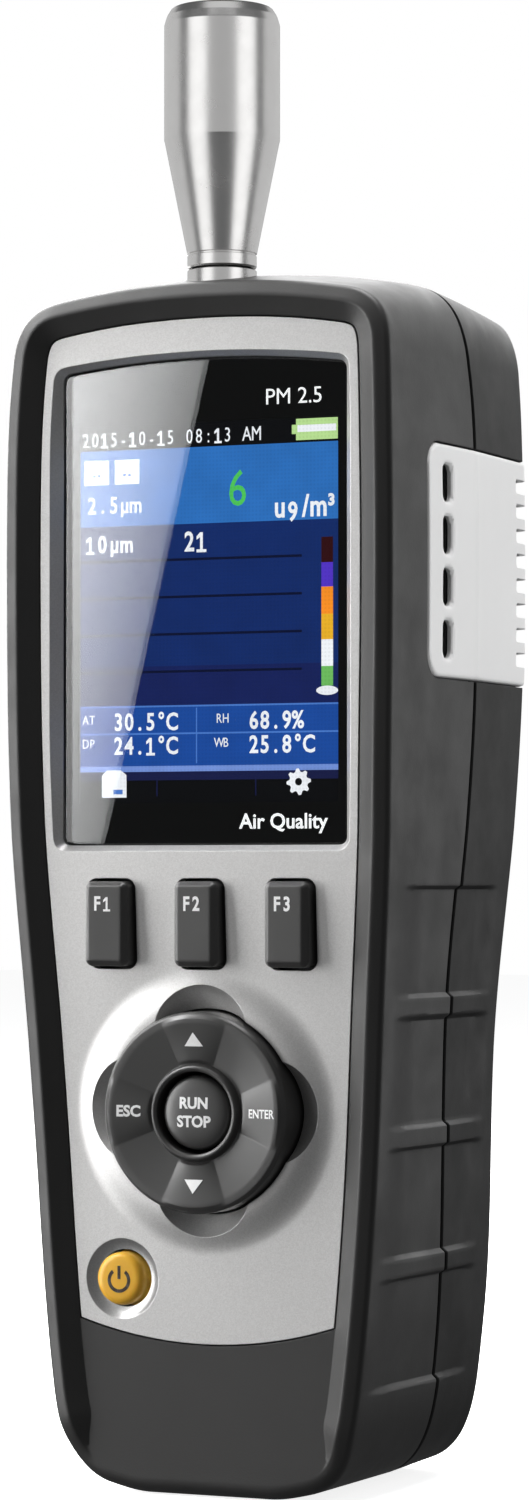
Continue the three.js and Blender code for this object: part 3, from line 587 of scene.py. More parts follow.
def window_glass():
    """Clear window with an anti-reflection coat: nothing but a weak surface reflection."""
    n = Finish("window_glass")
    haze = n.uneven(n.noise(60, 3), 0.004, 0.01)
    gloss = n.add("BsdfGlossy", Color=(1, 1, 1, 1), Roughness=haze)
    clear = n.add("BsdfTransparent", Color=(0.97, 0.98, 0.98, 1))
    coated = n.span(n.add("Fresnel", IOR=1.5).outputs[0], 0.0, 0.4)
    return n.shade(n.add("MixShader", coated, clear.outputs[0], gloss.outputs[0]))


def black_print():
    n = Finish("black_print")
    rough = n.span(n.noise(300), 0.3, 0.42)
    return n.surface(Base_Color=grey(0.002), Roughness=rough, Specular_IOR_Level=0.2)


def lit_pixels(name, colour):
    """Back-lit display colour, crossed by a faint grid of pixels."""
    n = Finish(name)
    columns, rows = [n.waves(direction, Scale=1000 / 2.2) for direction in "XZ"]
    grid = n.add("Math", columns, rows)
    grid.operation = "MULTIPLY"
    glow = n.blend(n.span(grid.outputs[0], 0.0, 0.12), colour, grey(0.0))
    return n.surface(
        Base_Color=grey(0.004), Roughness=0.5, Specular_IOR_Level=0.1,
        Emission_Color=glow, Emission_Strength=n.uneven(n.noise(140, 3), 0.92, 1.08),
    )


# glow makes the ink give off light of its own: above 0 it is a painted glow, print that shines though it is
# no lamp
def legend_ink(name, colour, glow=0.0):
    n = Finish(name)
    worn = n.blend(n.span(n.noise(900, 3), 0.0, 0.2, (0.45, 0.75)), colour, grey(0.5))
    return n.surface(
        Base_Color=worn, Roughness=0.55, Normal=n.bump(n.noise(2000), 0.01, 0.2),
        Emission_Color=worn, Emission_Strength=glow,
    )


def amber_key():
    """Translucent amber elastomer."""
    n = Finish("amber_key")
    return n.surface(
        Base_Color=n.mottled(n.noise(160, 3), 0.4, srgb(255, 196, 62), srgb(246, 178, 44)),
        Roughness=n.span(n.noise(300), 0.3, 0.42), Normal=n.bump(n.noise(2400, 2), 0.015, 0.4),
        Subsurface_Weight=0.15, Subsurface_Radius=(0.9, 0.4, 0.1), Subsurface_Scale=0.001,
    )


def circuit_board():
    """Green solder mask with copper tracks showing through as a fine maze."""
    n = Finish("circuit_board")
    maze = n.add(
        "TexBrick", Scale=220, Mortar_Size=0.06, Vector=n.where,
        Color1=(0.012, 0.09, 0.035, 1), Color2=(0.016, 0.12, 0.045, 1), Mortar=(0.03, 0.22, 0.08, 1),
    )
    relief = n.bump(maze.outputs["Fac"], 0.03, 0.4)
    return n.surface(Base_Color=maze.outputs["Color"], Roughness=0.35, Normal=relief, Coat_Weight=0.3)


def cell_wrap():
    """Shrink-wrapped battery cells: glossy film with faint wrinkles."""
    n = Finish("cell_wrap")
    wrinkle = n.noise(220, 4)
    tone = n.mottled(wrinkle, 0.5, srgb(44, 92, 168), srgb(30, 70, 140))
    return n.surface(Base_Color=tone, Roughness=0.28, Normal=n.bump(wrinkle, 0.15, 0.5, 0.6), Coat_Weight=0.4)


MAT = SimpleNamespace(
    housing=moulded("housing_plastic", grey(0.030, 0.02), grey(0.040, 0.02), 0.46),
    # the back plastic is the housing plastic made darker: painted shade for the back half, which the lights
    # leave darker
    back=moulded("housing_plastic_painted_shade", grey(0.012, 0.02), grey(0.018, 0.02), 0.5, specular=0.4),
    silver=silver_paint(),
    vent=moulded("vent_plastic", grey(0.72), grey(0.78), 0.5, grain=0.02),
    key=moulded("key_rubber", grey(0.044, 0.02), grey(0.060, 0.02), 0.34, 0.012, 3200, specular=0.8),
    rubber=moulded("soft_rubber", grey(0.02), grey(0.03), 0.7),
    black=moulded("black_plastic", grey(0.012), grey(0.02), 0.45),
    amber=amber_key(),
    steel=turned_steel(),
    screw=plain_metal("screw_steel", grey(0.5), 0.35),
    sheet=plain_metal("sheet_steel", grey(0.62), 0.3),
    brass=plain_metal("turned_brass", (0.72, 0.5, 0.2, 1), 0.3),
    glass=window_glass(),
    mask=black_print(),
    board=circuit_board(),
    cell=cell_wrap(),
    # the white legends glow a little: painted light on the printed marks
    white=legend_ink("white_ink_painted_glow", grey(0.86), 0.15),
    # the title print on the window glows strongly: painted light that makes it read bright behind the glass
    title=legend_ink("title_ink_painted_glow", grey(0.86), 0.8),
    brown=legend_ink("brown_ink", srgb(46, 26, 8)),
)

# ------- front half of the case

SEAM_INSET = -PARTING_SWELL * (1 - FOOT) - CROWN_SWELL * CROWN  # the skin is fullest at the parting line


def front_seam_y(z):
    return seam_y(z) - SEAM_GAP / 2


def back_seam_y(z):
    return seam_y(z) + SEAM_GAP / 2


def foot_share():
    """How far each station's rim has sunk from its full height to the recess floor, 0 to 1."""
    return 1 - smooth(STATION.z, *FOOT_Z)


def rim_rings():
    """Rings from the recess floor up its slope, over the crest and down the outer roll."""
    sides = [
        (PANEL_IN, PANEL_DEPTH), (3.15, 0.2), (3.0, 0.09), (2.8, 0.02), (2.5, 0.03), (2.1, 0.16),
        (0.85, 0.6), (0.55, 0.76), (0.28, 1.02), (0.08, 1.45), (0.0, ROLL_DEPTH),
    ]
    inset_foot, depth_foot = FOOT_ROLL
    foot = [(inset_foot + 0.4, PANEL_DEPTH), (inset_foot + 0.2, PANEL_DEPTH)]
    for k in range(len(sides) - 2):
        angle = math.pi / 2 * k / (len(sides) - 3)
        drop = (depth_foot - PANEL_DEPTH) * (1 - math.cos(angle))
        foot.append((inset_foot * (1 - math.sin(angle)), PANEL_DEPTH + drop))
    share = foot_share()
    rings = []
    for (inset, depth), (low_inset, low_depth) in zip(sides, foot):
        offset = lerp(depth, low_depth, share)
        rings.append(ring(lerp(inset, low_inset, share), lambda z, d=offset: front_y(z) + d))
    return rings


def front_wall_rings(rows, extra=0.0):
    """Rings down the front half's side walls, from the rim's roll to the seam."""
    start = lerp(ROLL_DEPTH, FOOT_ROLL[1], foot_share())
    rings = []
    for t in np.linspace(0, 1, rows + 1)[1:]:
        crown_share = 1 - (1 - t) ** 2.2
        inset = extra - PARTING_SWELL * t * (1 - FOOT) - CROWN_SWELL * crown_share * CROWN
        rings.append(side_ring(inset, lambda z, t=t: lerp(front_y(z) + start, front_seam_y(z), t)))
    return rings


def front_outer():
    walls = front_wall_rings(34)
    before = walls[-1].copy()
    before[:, 1] -= SEAM_CHAMFER
    return loft([*rim_rings(), *walls[:-1], before, side_ring(SEAM_INSET + SEAM_CHAMFER, front_seam_y)])


def front_cavity():
    return loft([
        ring(WALL, lambda z: front_y(z) + SHELL_FLOOR_BACK),
        ring(WALL + 0.6 * SEAM_INSET, lambda z: seam_y(z) + 1),
    ])


def window_outline(grow, steps=10):
    """Outline of the display window, arched along its top."""
    w, bottom, side = GLASS_HALF_W + grow, GLASS_Z0 - grow, GLASS_SIDE_Z + grow
    r = 1.3 + grow

    def bend(a, b, c, count):
        a, b, c = map(np.array, (a, b, c))
        t = np.arange(count)[:, None] / count
        return ((1 - t) ** 2 * a + 2 * (1 - t) * t * b + t ** 2 * c).tolist()

    crown = 2 * GLASS_CROWN_Z - GLASS_SIDE_Z + grow
    return [
        (-w + r, bottom),
        *bend((w - r, bottom), (w, bottom), (w, bottom + r), steps),
        *bend((w, side - r), (w, side), (w - r, side + 0.2), steps),
        *bend((w - r, side + 0.2), (0, crown), (-w + r, side + 0.2), 48),
        *bend((-w + r, side + 0.2), (-w, side), (-w, side - r), steps),
        (-w, side - r),
        *bend((-w, bottom + r), (-w, bottom), (-w + r, bottom), steps),
    ]


def window_opening():
    """The sloping surround of the window and the straight hole behind it."""
    wide = on_y(window_outline(GAP + WINDOW_LIP * WINDOW_SLOPE), GLASS_Y - WINDOW_LIP)
    narrow = window_outline(GAP)
    return mesh_from(*skin([wide, on_y(narrow, GLASS_Y), on_y(narrow, GLASS_Y + GLASS_THICK + GAP)]))


def view_opening():
    height = GLASS_SIDE_Z - GLASS_Z0 - 3
    middle = (GLASS_SIDE_Z + GLASS_Z0) / 2
    return prism(rounded_rect(0, middle, 2 * VIEW_HALF_W, height, 1), -FAR, 0)


def key_holes():
    holes = []
    width, height = KEY.width + 2 * KEY.gap, KEY.height + 2 * KEY.gap
    for x in KEY.xs:
        holes.append(prism(rounded_rect(x, KEY.z, width, height, KEY.corner + KEY.gap), -FAR, 0))
    holes.append(peg(NAV.radius + NAV.gap, 0, NAV.z, -FAR, 0, 160))
    holes.append(peg(POWER.radius + NAV.gap, POWER.x, POWER.z, -FAR, 0))
    return holes


def above_panel_edge(grow):
    half, top = 45.0, 230.0
    centre = PANEL_EDGE_Z + PANEL_EDGE_R
    radius = PANEL_EDGE_R + grow
    reach = math.asin(half / radius)
    arc = [(radius * math.sin(a), centre - radius * math.cos(a)) for a in np.linspace(-reach, reach, 60)]
    return prism([(half, top), (-half, top), *arc], -FAR, FAR)


def vent_outline(grow=0.0, steps=8):
    """Side view of the vent band, running out past the back."""
    depth = FAR - VENT.front + grow
    height = VENT.z1 - VENT.z0 + 2 * grow
    return rounded_rect(VENT.front - grow + depth / 2, VENT_MIDDLE, depth, height, VENT.corner + grow, steps)


def vent_region(grow, sunk):
    """Room for the vent band: a rounded slab through the case, outside the skin moved in by sunk."""
    return cut(prism_x(vent_outline(grow), -FAR, FAR), whole_case(sunk))


def spread(row):
    """Evenly spaced heights of a row of slots, about the vent's middle."""
    return [VENT_MIDDLE + (i - (row.count - 1) / 2) * row.pitch for i in range(row.count)]


def vent_slots():
    shapes = [rounded_rect(SLOT.y, z, SLOT.width, SLOT.height, SLOT.corner) for z in spread(SLOT)]
    return [prism_x(shape, -FAR, FAR) for shape in shapes]


def side_x(z):
    """Half-width of the outline at height z on its straight sides."""
    side = (STATION.x > 28) & (STATION.nx > 0.7)
    return np.interp(z, STATION.z[side][::-1], STATION.x[side][::-1])


def port_holes():
    seat = prism_x(
        rounded_rect(PORT.y, PORT.z, PORT.depth + 2 * GAP, PORT.height + 2 * GAP, 2.3),
        -FAR, -float(side_x(PORT.z)) + PORT.thick + GAP - PORT.proud,
    )
    usb = prism_x(rounded_rect(PORT.y, PORT.usb_z, *PORT.usb_size, 0.8), -FAR, PORT.inside_x)
    round_hole = [(0, -FAR), (PORT.jack_r, -FAR), (PORT.jack_r, PORT.inside_x), (0, PORT.inside_x)]
    return [seat, usb, turned(round_hole, "X", (0, PORT.y, PORT.jack_z), 48)]


def inlet_hole():
    foot, seat, top = 198, INLET_COLLAR_Z - 0.1, 230
    bore, radius = THREAD_R + GAP, INLET_NECK_R + GAP
    profile = [(0, foot), (bore, foot), (bore, seat), (radius, seat), (radius, top), (0, top)]
    return turned(profile, "Z", (0, INLET_Y, 0))


def front_housing():
    pocket = keep(
        loft([
            ring(PANEL_IN, lambda z: front_y(z) + PANEL_DEPTH - 1.0),
            ring(PANEL_IN, lambda z: front_y(z) + SHELL_FLOOR_DEPTH),
        ]),
        above_panel_edge(GAP),
    )
    glass_seat = prism(window_outline(GAP), -FAR, GLASS_Y + GLASS_THICK + GAP)
    shell = cut(
        front_outer(), pocket, front_cavity(), glass_seat, view_opening(), *key_holes(), inlet_hole(),
        vent_region(GAP, VENT.sunk + GAP), *vent_slots(), *port_holes(),
    )
    add_piece("front_housing", shell, "case", MAT.housing, "front_shell")


# ------- back half of the case

EDGE_START = np.radians(6 + 20 * CROWN)  # where the back edge's arc begins, so it meets the wall smoothly


def back_wall_rings(rows, extra=0.0):
    rings = []
    for v in np.linspace(0, 1, rows + 1):
        inset = extra + BACK_DRAFT * v - PARTING_SWELL * (1 - FOOT) * (1 - v)
        inset = inset - CROWN * lerp(CROWN_SWELL, BACK_CROWN, v ** 1.8)
        rings.append(side_ring(inset, lambda z, v=v: lerp(back_seam_y(z), back_arc(z, EDGE_START), v)))
    return rings


def back_arc(z, angle):
    return back_y(z) - BACK_EDGE_R * (1 - np.sin(angle))


def back_edge_rings(steps, extra=0.0):
    rings = []
    for k in range(1, steps + 1):
        angle = lerp(EDGE_START, math.pi / 2, k / steps)
        inset = extra + BACK_DRAFT + BACK_EDGE_R * (np.cos(EDGE_START) - np.cos(angle)) - CROWN * BACK_CROWN
        rings.append(ring(inset, lambda z, a=angle: back_arc(z, a) - extra))
    return rings


def whole_case(inset):
    """The case's outer skin moved in by inset, as one coarse solid."""
    front = ring(inset + 2.8, lambda z: front_y(z) + inset)
    rim = ring(inset, lambda z: front_y(z) + inset + 0.9)
    walls = [*front_wall_rings(8, inset), *back_wall_rings(6, inset)[1:]]
    return loft([front, rim, *walls, *back_edge_rings(8, inset)])


def back_outer():
    walls = back_wall_rings(22)
    behind = walls[0].copy()
    behind[:, 1] += SEAM_CHAMFER
    return loft([
        side_ring(SEAM_INSET + TONGUE_IN, lambda z: front_seam_y(z) + 0.12),
        side_ring(SEAM_INSET + TONGUE_IN, back_seam_y),
        side_ring(SEAM_INSET + SEAM_CHAMFER, back_seam_y),
        behind, *walls[1:], *back_edge_rings(10),
    ])


def back_cavity():
    return loft([
        ring(WALL + 0.6 * SEAM_INSET, lambda z: seam_y(z) - 1),
        ring(WALL + BACK_DRAFT, lambda z: back_y(z) - BACK_EDGE_R),
        ring(WALL + BACK_DRAFT + 2, lambda z: back_y(z) - WALL),
    ])


def door_column(grow):
    width, height = 2 * (DOOR.half_w + grow), DOOR.z1 - DOOR.z0 + 2 * grow
    return prism(rounded_rect(0, (DOOR.z0 + DOOR.z1) / 2, width, height, DOOR.corner + grow), 0, FAR)


def door_seat():
    layer = loft([
        ring(2, lambda z: back_y(z) - DOOR.thick - GAP),
        ring(2, lambda z: back_y(z) + 5),
    ])
    return keep(door_column(GAP), layer)


def back_housing():
    wall = BAY.wall
    outer = back_outer()
    ribs = join(
        block((-BAY.half_w - wall, BAY.half_w + wall), (BAY.y - wall, FAR), (BAY.z0 - wall, BAY.z1 + wall)),
        peg(TRIPOD_BOSS_R, 0, TRIPOD_Z, TRIPOD_FRONT_Y - 2.5, FAR),
        *[peg(SCREW_POST_R, x, z, float(seam_y(z)) + 2, FAR, 48) for x, z in SCREWS],
    )
    inside = keep(ribs, outer.copy())
    shell = join(cut(outer, back_cavity()), inside)
    shell = cut(
        shell,
        block((-BAY.half_w, BAY.half_w), (BAY.y, FAR), (BAY.z0, BAY.z1)),
        door_seat(),
        block((-6.3, 6.3), (BAY.y + 12, FAR), (BAY.z1 - 1, DOOR.z1 + 1.2)),
        peg(INSERT_R + GAP, 0, TRIPOD_Z, TRIPOD_FRONT_Y - 1, FAR),
        vent_region(GAP, VENT.sunk + GAP),
        *louvres(),
    )
    for x, z in SCREWS:
        shell = cut(
            shell,
            peg(SCREW_HEAD_R + GAP, x, z, float(back_y(z)) - 7, FAR, 48),
            peg(SCREW_R + GAP, x, z, float(seam_y(z)) - 2, float(back_y(z)) - 6, 32),
        )
    # the back shell wears the darker copy of the housing plastic: painted shade
    add_piece("back_housing", shell, "case", MAT.back, "back_shell")


# ------- vent band


def band_section(z):
    """The case's skin in plan at height z, as (x, y) from the right front edge round the back."""
    half = float(side_x(z))
    seam = float(seam_y(z))
    start = float(front_y(z)) + ROLL_DEPTH
    angle0 = math.radians(6)
    back = float(back_y(z))
    end = back - BACK_EDGE_R * (1 - math.sin(angle0))
    rows = []
    rolled, plain = np.linspace(VENT.front, VENT.front + 3, 13), np.linspace(VENT.front + 3, seam, 34)
    for y in (*rolled[:-1], *plain):
        rows.append((half + PARTING_SWELL * (y - start) / (seam - start), y))
    for y in np.linspace(seam, end, 22)[1:]:
        v = (y - seam) / (end - seam)
        rows.append((half + PARTING_SWELL * (1 - v) - BACK_DRAFT * v, y))
    for k in range(1, 13):
        angle = lerp(angle0, math.pi / 2, k / 12)
        inset = BACK_DRAFT + BACK_EDGE_R * (math.cos(angle0) - math.cos(angle))
        rows.append((half - inset, back - BACK_EDGE_R * (1 - math.sin(angle))))
    rows += [(x, back) for x in np.linspace(rows[-1][0], 0, 20)[1:]]
    right = np.array(rows)
    return np.vstack([right, right[-2::-1] * (-1, 1)])


def vent_wrap():
    low, high = VENT.z0 + VENT_EDGE, VENT.z1 - VENT_EDGE
    edges = np.linspace(VENT.z0, low, 7)[:-1], np.linspace(high, VENT.z1, 7)[1:]
    rows = [*edges[0], *np.linspace(low, high, 100), *edges[1]]
    depth = FAR - VENT.front
    outside, inside = [], []
    for z in rows:
        section = band_section(z)
        along = np.gradient(section, axis=0)
        normal = np.column_stack([along[:, 1], -along[:, 0]])
        normal /= np.linalg.norm(normal, axis=1)[:, None]
        y = section[:, 1]
        from_end = y - VENT.front - depth / 2
        border = -rounded_distance(from_end, z - VENT_MIDDLE, depth, VENT.z1 - VENT.z0, VENT.corner)
        lift = VENT.proud - roll_off(border, VENT.round)
        for slot_z in spread(SLOT):
            away = rounded_distance(y - SLOT.y, z - slot_z, SLOT.width, SLOT.height, SLOT.corner)
            lift = lift - roll_off(np.maximum(away, 0), SLOT.lip)
        lift = lift + 0.2 * np.exp(-((y - seam_y(z)) / 0.6) ** 2) * smooth(border, 0, 1)
        height = np.full(len(y), z)
        outside.append(np.column_stack([section + normal * lift[:, None], height]))
        inside.append(np.column_stack([section - normal * VENT.sunk, height]))
    band = keep(slab(np.array(outside), np.array(inside)), prism_x(vent_outline(steps=12), -FAR, FAR))
    band = cut(band, *vent_slots(), *louvres())
    add_piece("vent_wrap", band, "case", MAT.vent, "vent_band", crease=20)


def louvres():
    """Cutters for the slots that run round the two back corners."""
    cutters = []
    centre, depth = (BACK_Y - LOUVRE.depth + FAR) / 2, FAR - BACK_Y + LOUVRE.depth
    for z in spread(LOUVRE):
        shape = rounded_rect(centre, z, depth, LOUVRE.height, LOUVRE.corner)
        cutters += [prism_x(shape, -FAR, -LOUVRE.inner_x), prism_x(shape, LOUVRE.inner_x, FAR)]
    return cutters


# ------- front panel


def panel_surface(x, z):
    """Depth of the silver panel's painted face."""
    y = front_y(z) + PANEL_DEPTH
    from_nav = np.hypot(x, z - NAV.z)
    return y - MOUND.rise * (1 - smooth(from_nav, MOUND.top, MOUND.foot))


def power_dish():
    """A shallow bowl round the power key."""
    face = float(front_y(POWER.z)) + PANEL_DEPTH
    mouth = POWER.dish + 0.15
    profile = [(0, -FAR), (mouth, -FAR), (mouth, face - 0.1), (POWER.dish + 0.02, face + 0.02)]
    for t in np.linspace(1, 0, 14)[1:]:
        radius = lerp(POWER.radius, POWER.dish, t)
        profile.append((radius, face + POWER.dish_depth * (1 - t ** 2)))
    profile.append((0, face + POWER.dish_depth))
    return turned(profile, "Y", (POWER.x, 0, POWER.z), 160)


def finger_scoops():
    balls = []
    sink = math.sqrt(SCOOP.ball ** 2 - SCOOP.mouth ** 2)
    for turn in range(4):
        x = SCOOP.centre * math.cos(turn * math.pi / 2)
        z = NAV.z + SCOOP.centre * math.sin(turn * math.pi / 2)
        y = float(front_y(z)) + PANEL_DEPTH - sink
        arc = [(SCOOP.ball * math.sin(a), -SCOOP.ball * math.cos(a)) for a in np.linspace(0, math.pi, 49)]
        arc[0], arc[-1] = (0, -SCOOP.ball), (0, SCOOP.ball)
        balls.append(turned(arc, "Y", (x, y, z), 128))
    return balls


def silver_front():
    xs = np.linspace(-32, 32, 161)
    zs = [*np.linspace(22, 96, 190)[:-1], *np.linspace(96, 208, 160)]  # finer over the mound
    x, z = np.meshgrid(xs, zs)
    face = np.stack([x, panel_surface(x, z), z], -1)
    rear = np.stack([x, front_y(z) + PANEL_DEPTH + PANEL_THICK, z], -1)
    column = loft([ring(PANEL_IN + GAP, lambda z: 0 * z - 40), ring(PANEL_IN + GAP, lambda z: 0 * z)])
    panel = keep(slab(face, rear), column, above_panel_edge(0))
    panel = cut(panel, window_opening(), power_dish(), *key_holes(), *finger_scoops())
    add_piece("silver_front", panel, "case", MAT.silver, "front_panel", crease=22)


# ------- keys


def rounded_pad(x, z, width, height, corner, steps):
    """Rings of a rounded rectangle, each moved in by inset at depth y, closed by flat ends."""
    rings = []
    for inset, y in steps:
        shape = rounded_rect(x, z, width - 2 * inset, height - 2 * inset, max(0.25, corner - inset))
        rings.append(on_y(shape, y))
    return mesh_from(*skin(rings))


def function_keys():
    root = float(front_y(KEY.z - KEY.height / 2)) + SHELL_FLOOR_BACK + GAP + 0.6
    bevel = [
        (0, 1.3), (0.05, 1.08), (0.16, 0.94), (0.72, 0.2), (0.86, 0.08), (1.05, 0.02), (1.4, 0), (2.6, 0),
    ]
    steps = [(0, root + 0.5), *[(inset, KEY.face + drop) for inset, drop in bevel]]
    for number, x in enumerate(KEY.xs, 1):
        body = rounded_pad(x, KEY.z, KEY.width, KEY.height, KEY.corner, steps)
        flange = rounded_pad(x, KEY.z, KEY.width + 2.6, KEY.height + 2.6, 1.2, [(0, root), (0, root + 1)])
        name = f"soft_key_{number}"
        add_piece(name, join(body, flange), f"key_f{number}", MAT.key, f"key_f{number}")
        legend = Artwork()
        legend.row(f"F{number}", x - 2.3, KEY.z + 3.4, 2.5, 1.9, 0, weight=0.04)
        legend.place(f"legend_f{number}", flat(KEY.face), f"key_f{number}", "key_rubber", MAT.white)


def nav_dish(radius):
    """Depth of the ring's sloping face behind its rim."""
    return DISH_DROP * (1 - np.clip((radius - 8.6) / 7.2, 0, 1))


def sector_rise(radius, angle):
    """The four convex sectors, as a rise towards the user."""
    turn = np.degrees(angle) % 90
    off = np.minimum(turn, 90 - turn) / SECTOR_HALF
    rise, sink = SECTOR_FADE
    reach = smooth(radius, *rise) * (1 - smooth(radius, *sink))
    return SECTOR_RISE * reach * np.clip(1 - off ** 2, 0, 1)


def nav_face(x, z):
    radius = np.hypot(x, z - NAV.z)
    angle = np.arctan2(z - NAV.z, x)
    return NAV.face + nav_dish(radius) - sector_rise(radius, angle)


def direction_ring():
    face, flange = NAV.face, NAV_FLANGE
    front = [
        (NAV.bore, 0.5), (7.2, 0.2), (7.35, 0), (7.6, -0.14), (NAV.collar, -0.16), (8.1, 0), (8.35, 0.5),
        (8.6, DISH_DROP), *[(r, float(nav_dish(r))) for r in np.linspace(8.8, 16.6, 27)],
        (16.85, 0.02), (17.0, 0.1), (17.3, 0.42), (17.44, 0.62), (NAV.radius, 0.9),
    ]
    profile = [
        (NAV.bore, flange.inside), *below(face, front), (NAV.radius, flange.y0), (flange.radius, flange.y0),
        (flange.radius, flange.y1), (flange.skirt, flange.y1), (flange.skirt, flange.inside),
    ]

    def relief(radius, along, angle):
        on_face = along <= face + 2
        return -sector_rise(radius, angle) * on_face

    ring_mesh = turned(profile, "Y", (0, 0, NAV.z), 360, relief)
    add_piece("direction_ring", ring_mesh, "nav_ring", MAT.key, "nav_ring", crease=14)
    legend = Artwork()
    for side in (-1, 1):
        tip, foot = NAV.z + side * 13.9, NAV.z + side * 11.5
        legend.shape([(-1.75, foot), (1.75, foot), (0, tip)], 0, 3)
    legend.text("ESC", -12.6, NAV.z, 1.95, 0, weight=0.05)
    legend.text("ENTER", 12.9, NAV.z, 1.55, 0, weight=0.03, squeeze=0.82)
    legend.place("legend_ring", nav_face, "nav_ring", "key_rubber", MAT.white)


def run_stop():
    face = NAV.face
    dome = [
        (0, 0.3), (1.5, 0.3), (3, 0.36), (4.4, 0.5), (5.4, 0.7), (5.8, 0.84), (6.05, 1.0), (6.25, 1.25),
        (6.4, 1.6), (RUN_R, 2.2),
    ]
    cap = turned([*below(face, dome), (RUN_R, -15.8), (0, -15.8)], "Y", (0, 0, NAV.z), 128)
    add_piece("run_stop_cap", cap, "run_stop_button", MAT.key, "run_stop_button")
    legend = Artwork()
    legend.text("RUN", -0.15, NAV.z + 1.6, 1.95, 0, weight=0.05)
    legend.text("STOP", -0.15, NAV.z - 1.6, 1.95, 0, weight=0.05)

    def surface(x, z):
        return face + 0.3 + 0.4 * np.clip((np.hypot(x, z - NAV.z) - 1.5) / 3.9, 0, 1) ** 2
    legend.place("legend_run_stop", surface, "run_stop_button", "key_rubber", MAT.white)


def power_cap():
    face, radius = POWER.face, POWER.radius
    dome = [
        (0, 0), (3.0, 0), (3.5, 0.04), (3.9, 0.16), (4.2, 0.36), (4.45, 0.66), (4.6, 1.05), (radius, 1.6),
    ]
    flange = radius + 1.2
    profile = [*below(face, dome), (radius, -16.9), (flange, -16.9), (flange, -16), (0, -16)]
    cap = turned(profile, "Y", (POWER.x, 0, POWER.z), 128)
    piece = add_piece("power_cap", cap, "power_button", MAT.amber, "power_button")
    piece.visible_diffuse = piece.visible_glossy = False  # keeps its colour out of the dish round it
    symbol = Artwork()
    angles = np.radians(np.linspace(128, 412, 40))
    arc = []
    for r, sweep in ((2.2, angles), (1.6, angles[::-1])):
        arc += [(POWER.x + r * math.cos(a), POWER.z - 0.2 + r * math.sin(a)) for a in sweep]
    symbol.shape(arc, 0)
    symbol.box(POWER.x - 0.28, POWER.x + 0.28, POWER.z, POWER.z + 2.3, 0)
    symbol.place("legend_power", flat(face), "power_button", "power_key", MAT.brown)


# ------- printed and lit artwork


def flat(y):
    """A surface at one depth, for artwork that lies on a flat face."""
    return lambda u, v: y + 0 * u


class Artwork:
    """Flat marks with a little thickness, gathered into one mesh. Marks are laid out in x and z."""

    def __init__(self):
        self.points, self.faces, self.inks = [], [], []

    def shape(self, outline, ink, level=0):
        count = len(outline)
        base = len(self.points)
        for side in (0, 1):
            self.points += [(u, v, side, level) for u, v in outline]
        faces = [list(range(base, base + count)), list(range(base + count, base + 2 * count))[::-1]]
        for i in range(count):
            j = (i + 1) % count
            faces.append([base + i, base + count + i, base + count + j, base + j])
        self.faces += faces
        self.inks += [ink] * len(faces)

    def box(self, u0, u1, v0, v1, ink, level=0):
        self.shape([(u0, v0), (u1, v0), (u1, v1), (u0, v1)], ink, level)

    def disc(self, u, v, width, height, ink, level=0, steps=32):
        angles = np.linspace(0, 2 * math.pi, steps, endpoint=False)
        self.shape([(u + width / 2 * math.cos(a), v + height / 2 * math.sin(a)) for a in angles], ink, level)

    def text(self, words, u, v, height, ink, level=0, weight=0.0, squeeze=1.0):
        curve = bpy.data.curves.new("words", "FONT")
        curve.body = words
        curve.align_x = curve.align_y = "CENTER"
        curve.size = height / CAPITAL_HEIGHT
        curve.offset = weight * height
        curve.extrude = 0.5
        curve.resolution_u = 3
        mesh = take_mesh(new_object("words", curve))
        base = len(self.points)
        corners = [vertex.co for vertex in mesh.vertices]
        self.points += [(u + c.x * squeeze, v + c.y, 0 if c.z > 0 else 1, level) for c in corners]
        self.faces += [[base + k for k in face.vertices] for face in mesh.polygons]
        self.inks += [ink] * len(mesh.polygons)
        bpy.data.meshes.remove(mesh)

    def row(self, words, u, v, height, pitch, ink, level=0, weight=0.0, squeeze=0.82):
        """Evenly spaced letters from u on, with a flag and a foot drawn on the figure 1."""
        for i, letter in enumerate(words):
            centre = u + pitch * (i + 0.5)
            if letter == "1":
                self.figure_one(centre, v, height, ink, level)
            elif letter != " ":
                self.text(letter, centre, v, height, ink, level, weight, squeeze)

    def figure_one(self, u, v, height, ink, level):
        stem, wing = 0.075 * height, 0.27 * height
        top, foot = v + height / 2, v - height / 2
        self.shape([
            (u - wing, foot), (u + wing, foot), (u + wing, foot + 2 * stem), (u + stem, foot + 2 * stem),
            (u + stem, top), (u - stem, top), (u - wing, top - 0.2 * height), (u - wing, top - 0.36 * height),
            (u - stem, top - 0.24 * height), (u - stem, foot + 2 * stem), (u - wing, foot + 2 * stem),
        ], ink, level)

    def place(self, name, surface, body, slot, inks, step=0.03):
        u, v, side, level = np.array(self.points).T
        y = surface(u, v) - 0.035 - step * level + side * (0.1 + step * level)
        mesh = mesh_from(np.column_stack([u, y, v]), self.faces)
        add_piece(name, mesh, body, inks, crease=30)
        mesh.polygons.foreach_set("material_index", self.inks)


INK = dict(
    navy=(14, 42, 104), deep=(18, 32, 90), band=(44, 112, 190), rule=(2, 12, 48), table=(24, 74, 158),
    line=(74, 122, 204), glow=(118, 148, 220), white=(248, 250, 255), green=(80, 200, 90), maroon=(48, 6, 12),
    purple=(84, 52, 200), orange=(255, 146, 36), amber=(240, 180, 40), leaf=(112, 190, 96),
    charge=(190, 228, 150), black=(2, 3, 6), dusk=(20, 26, 70),
)


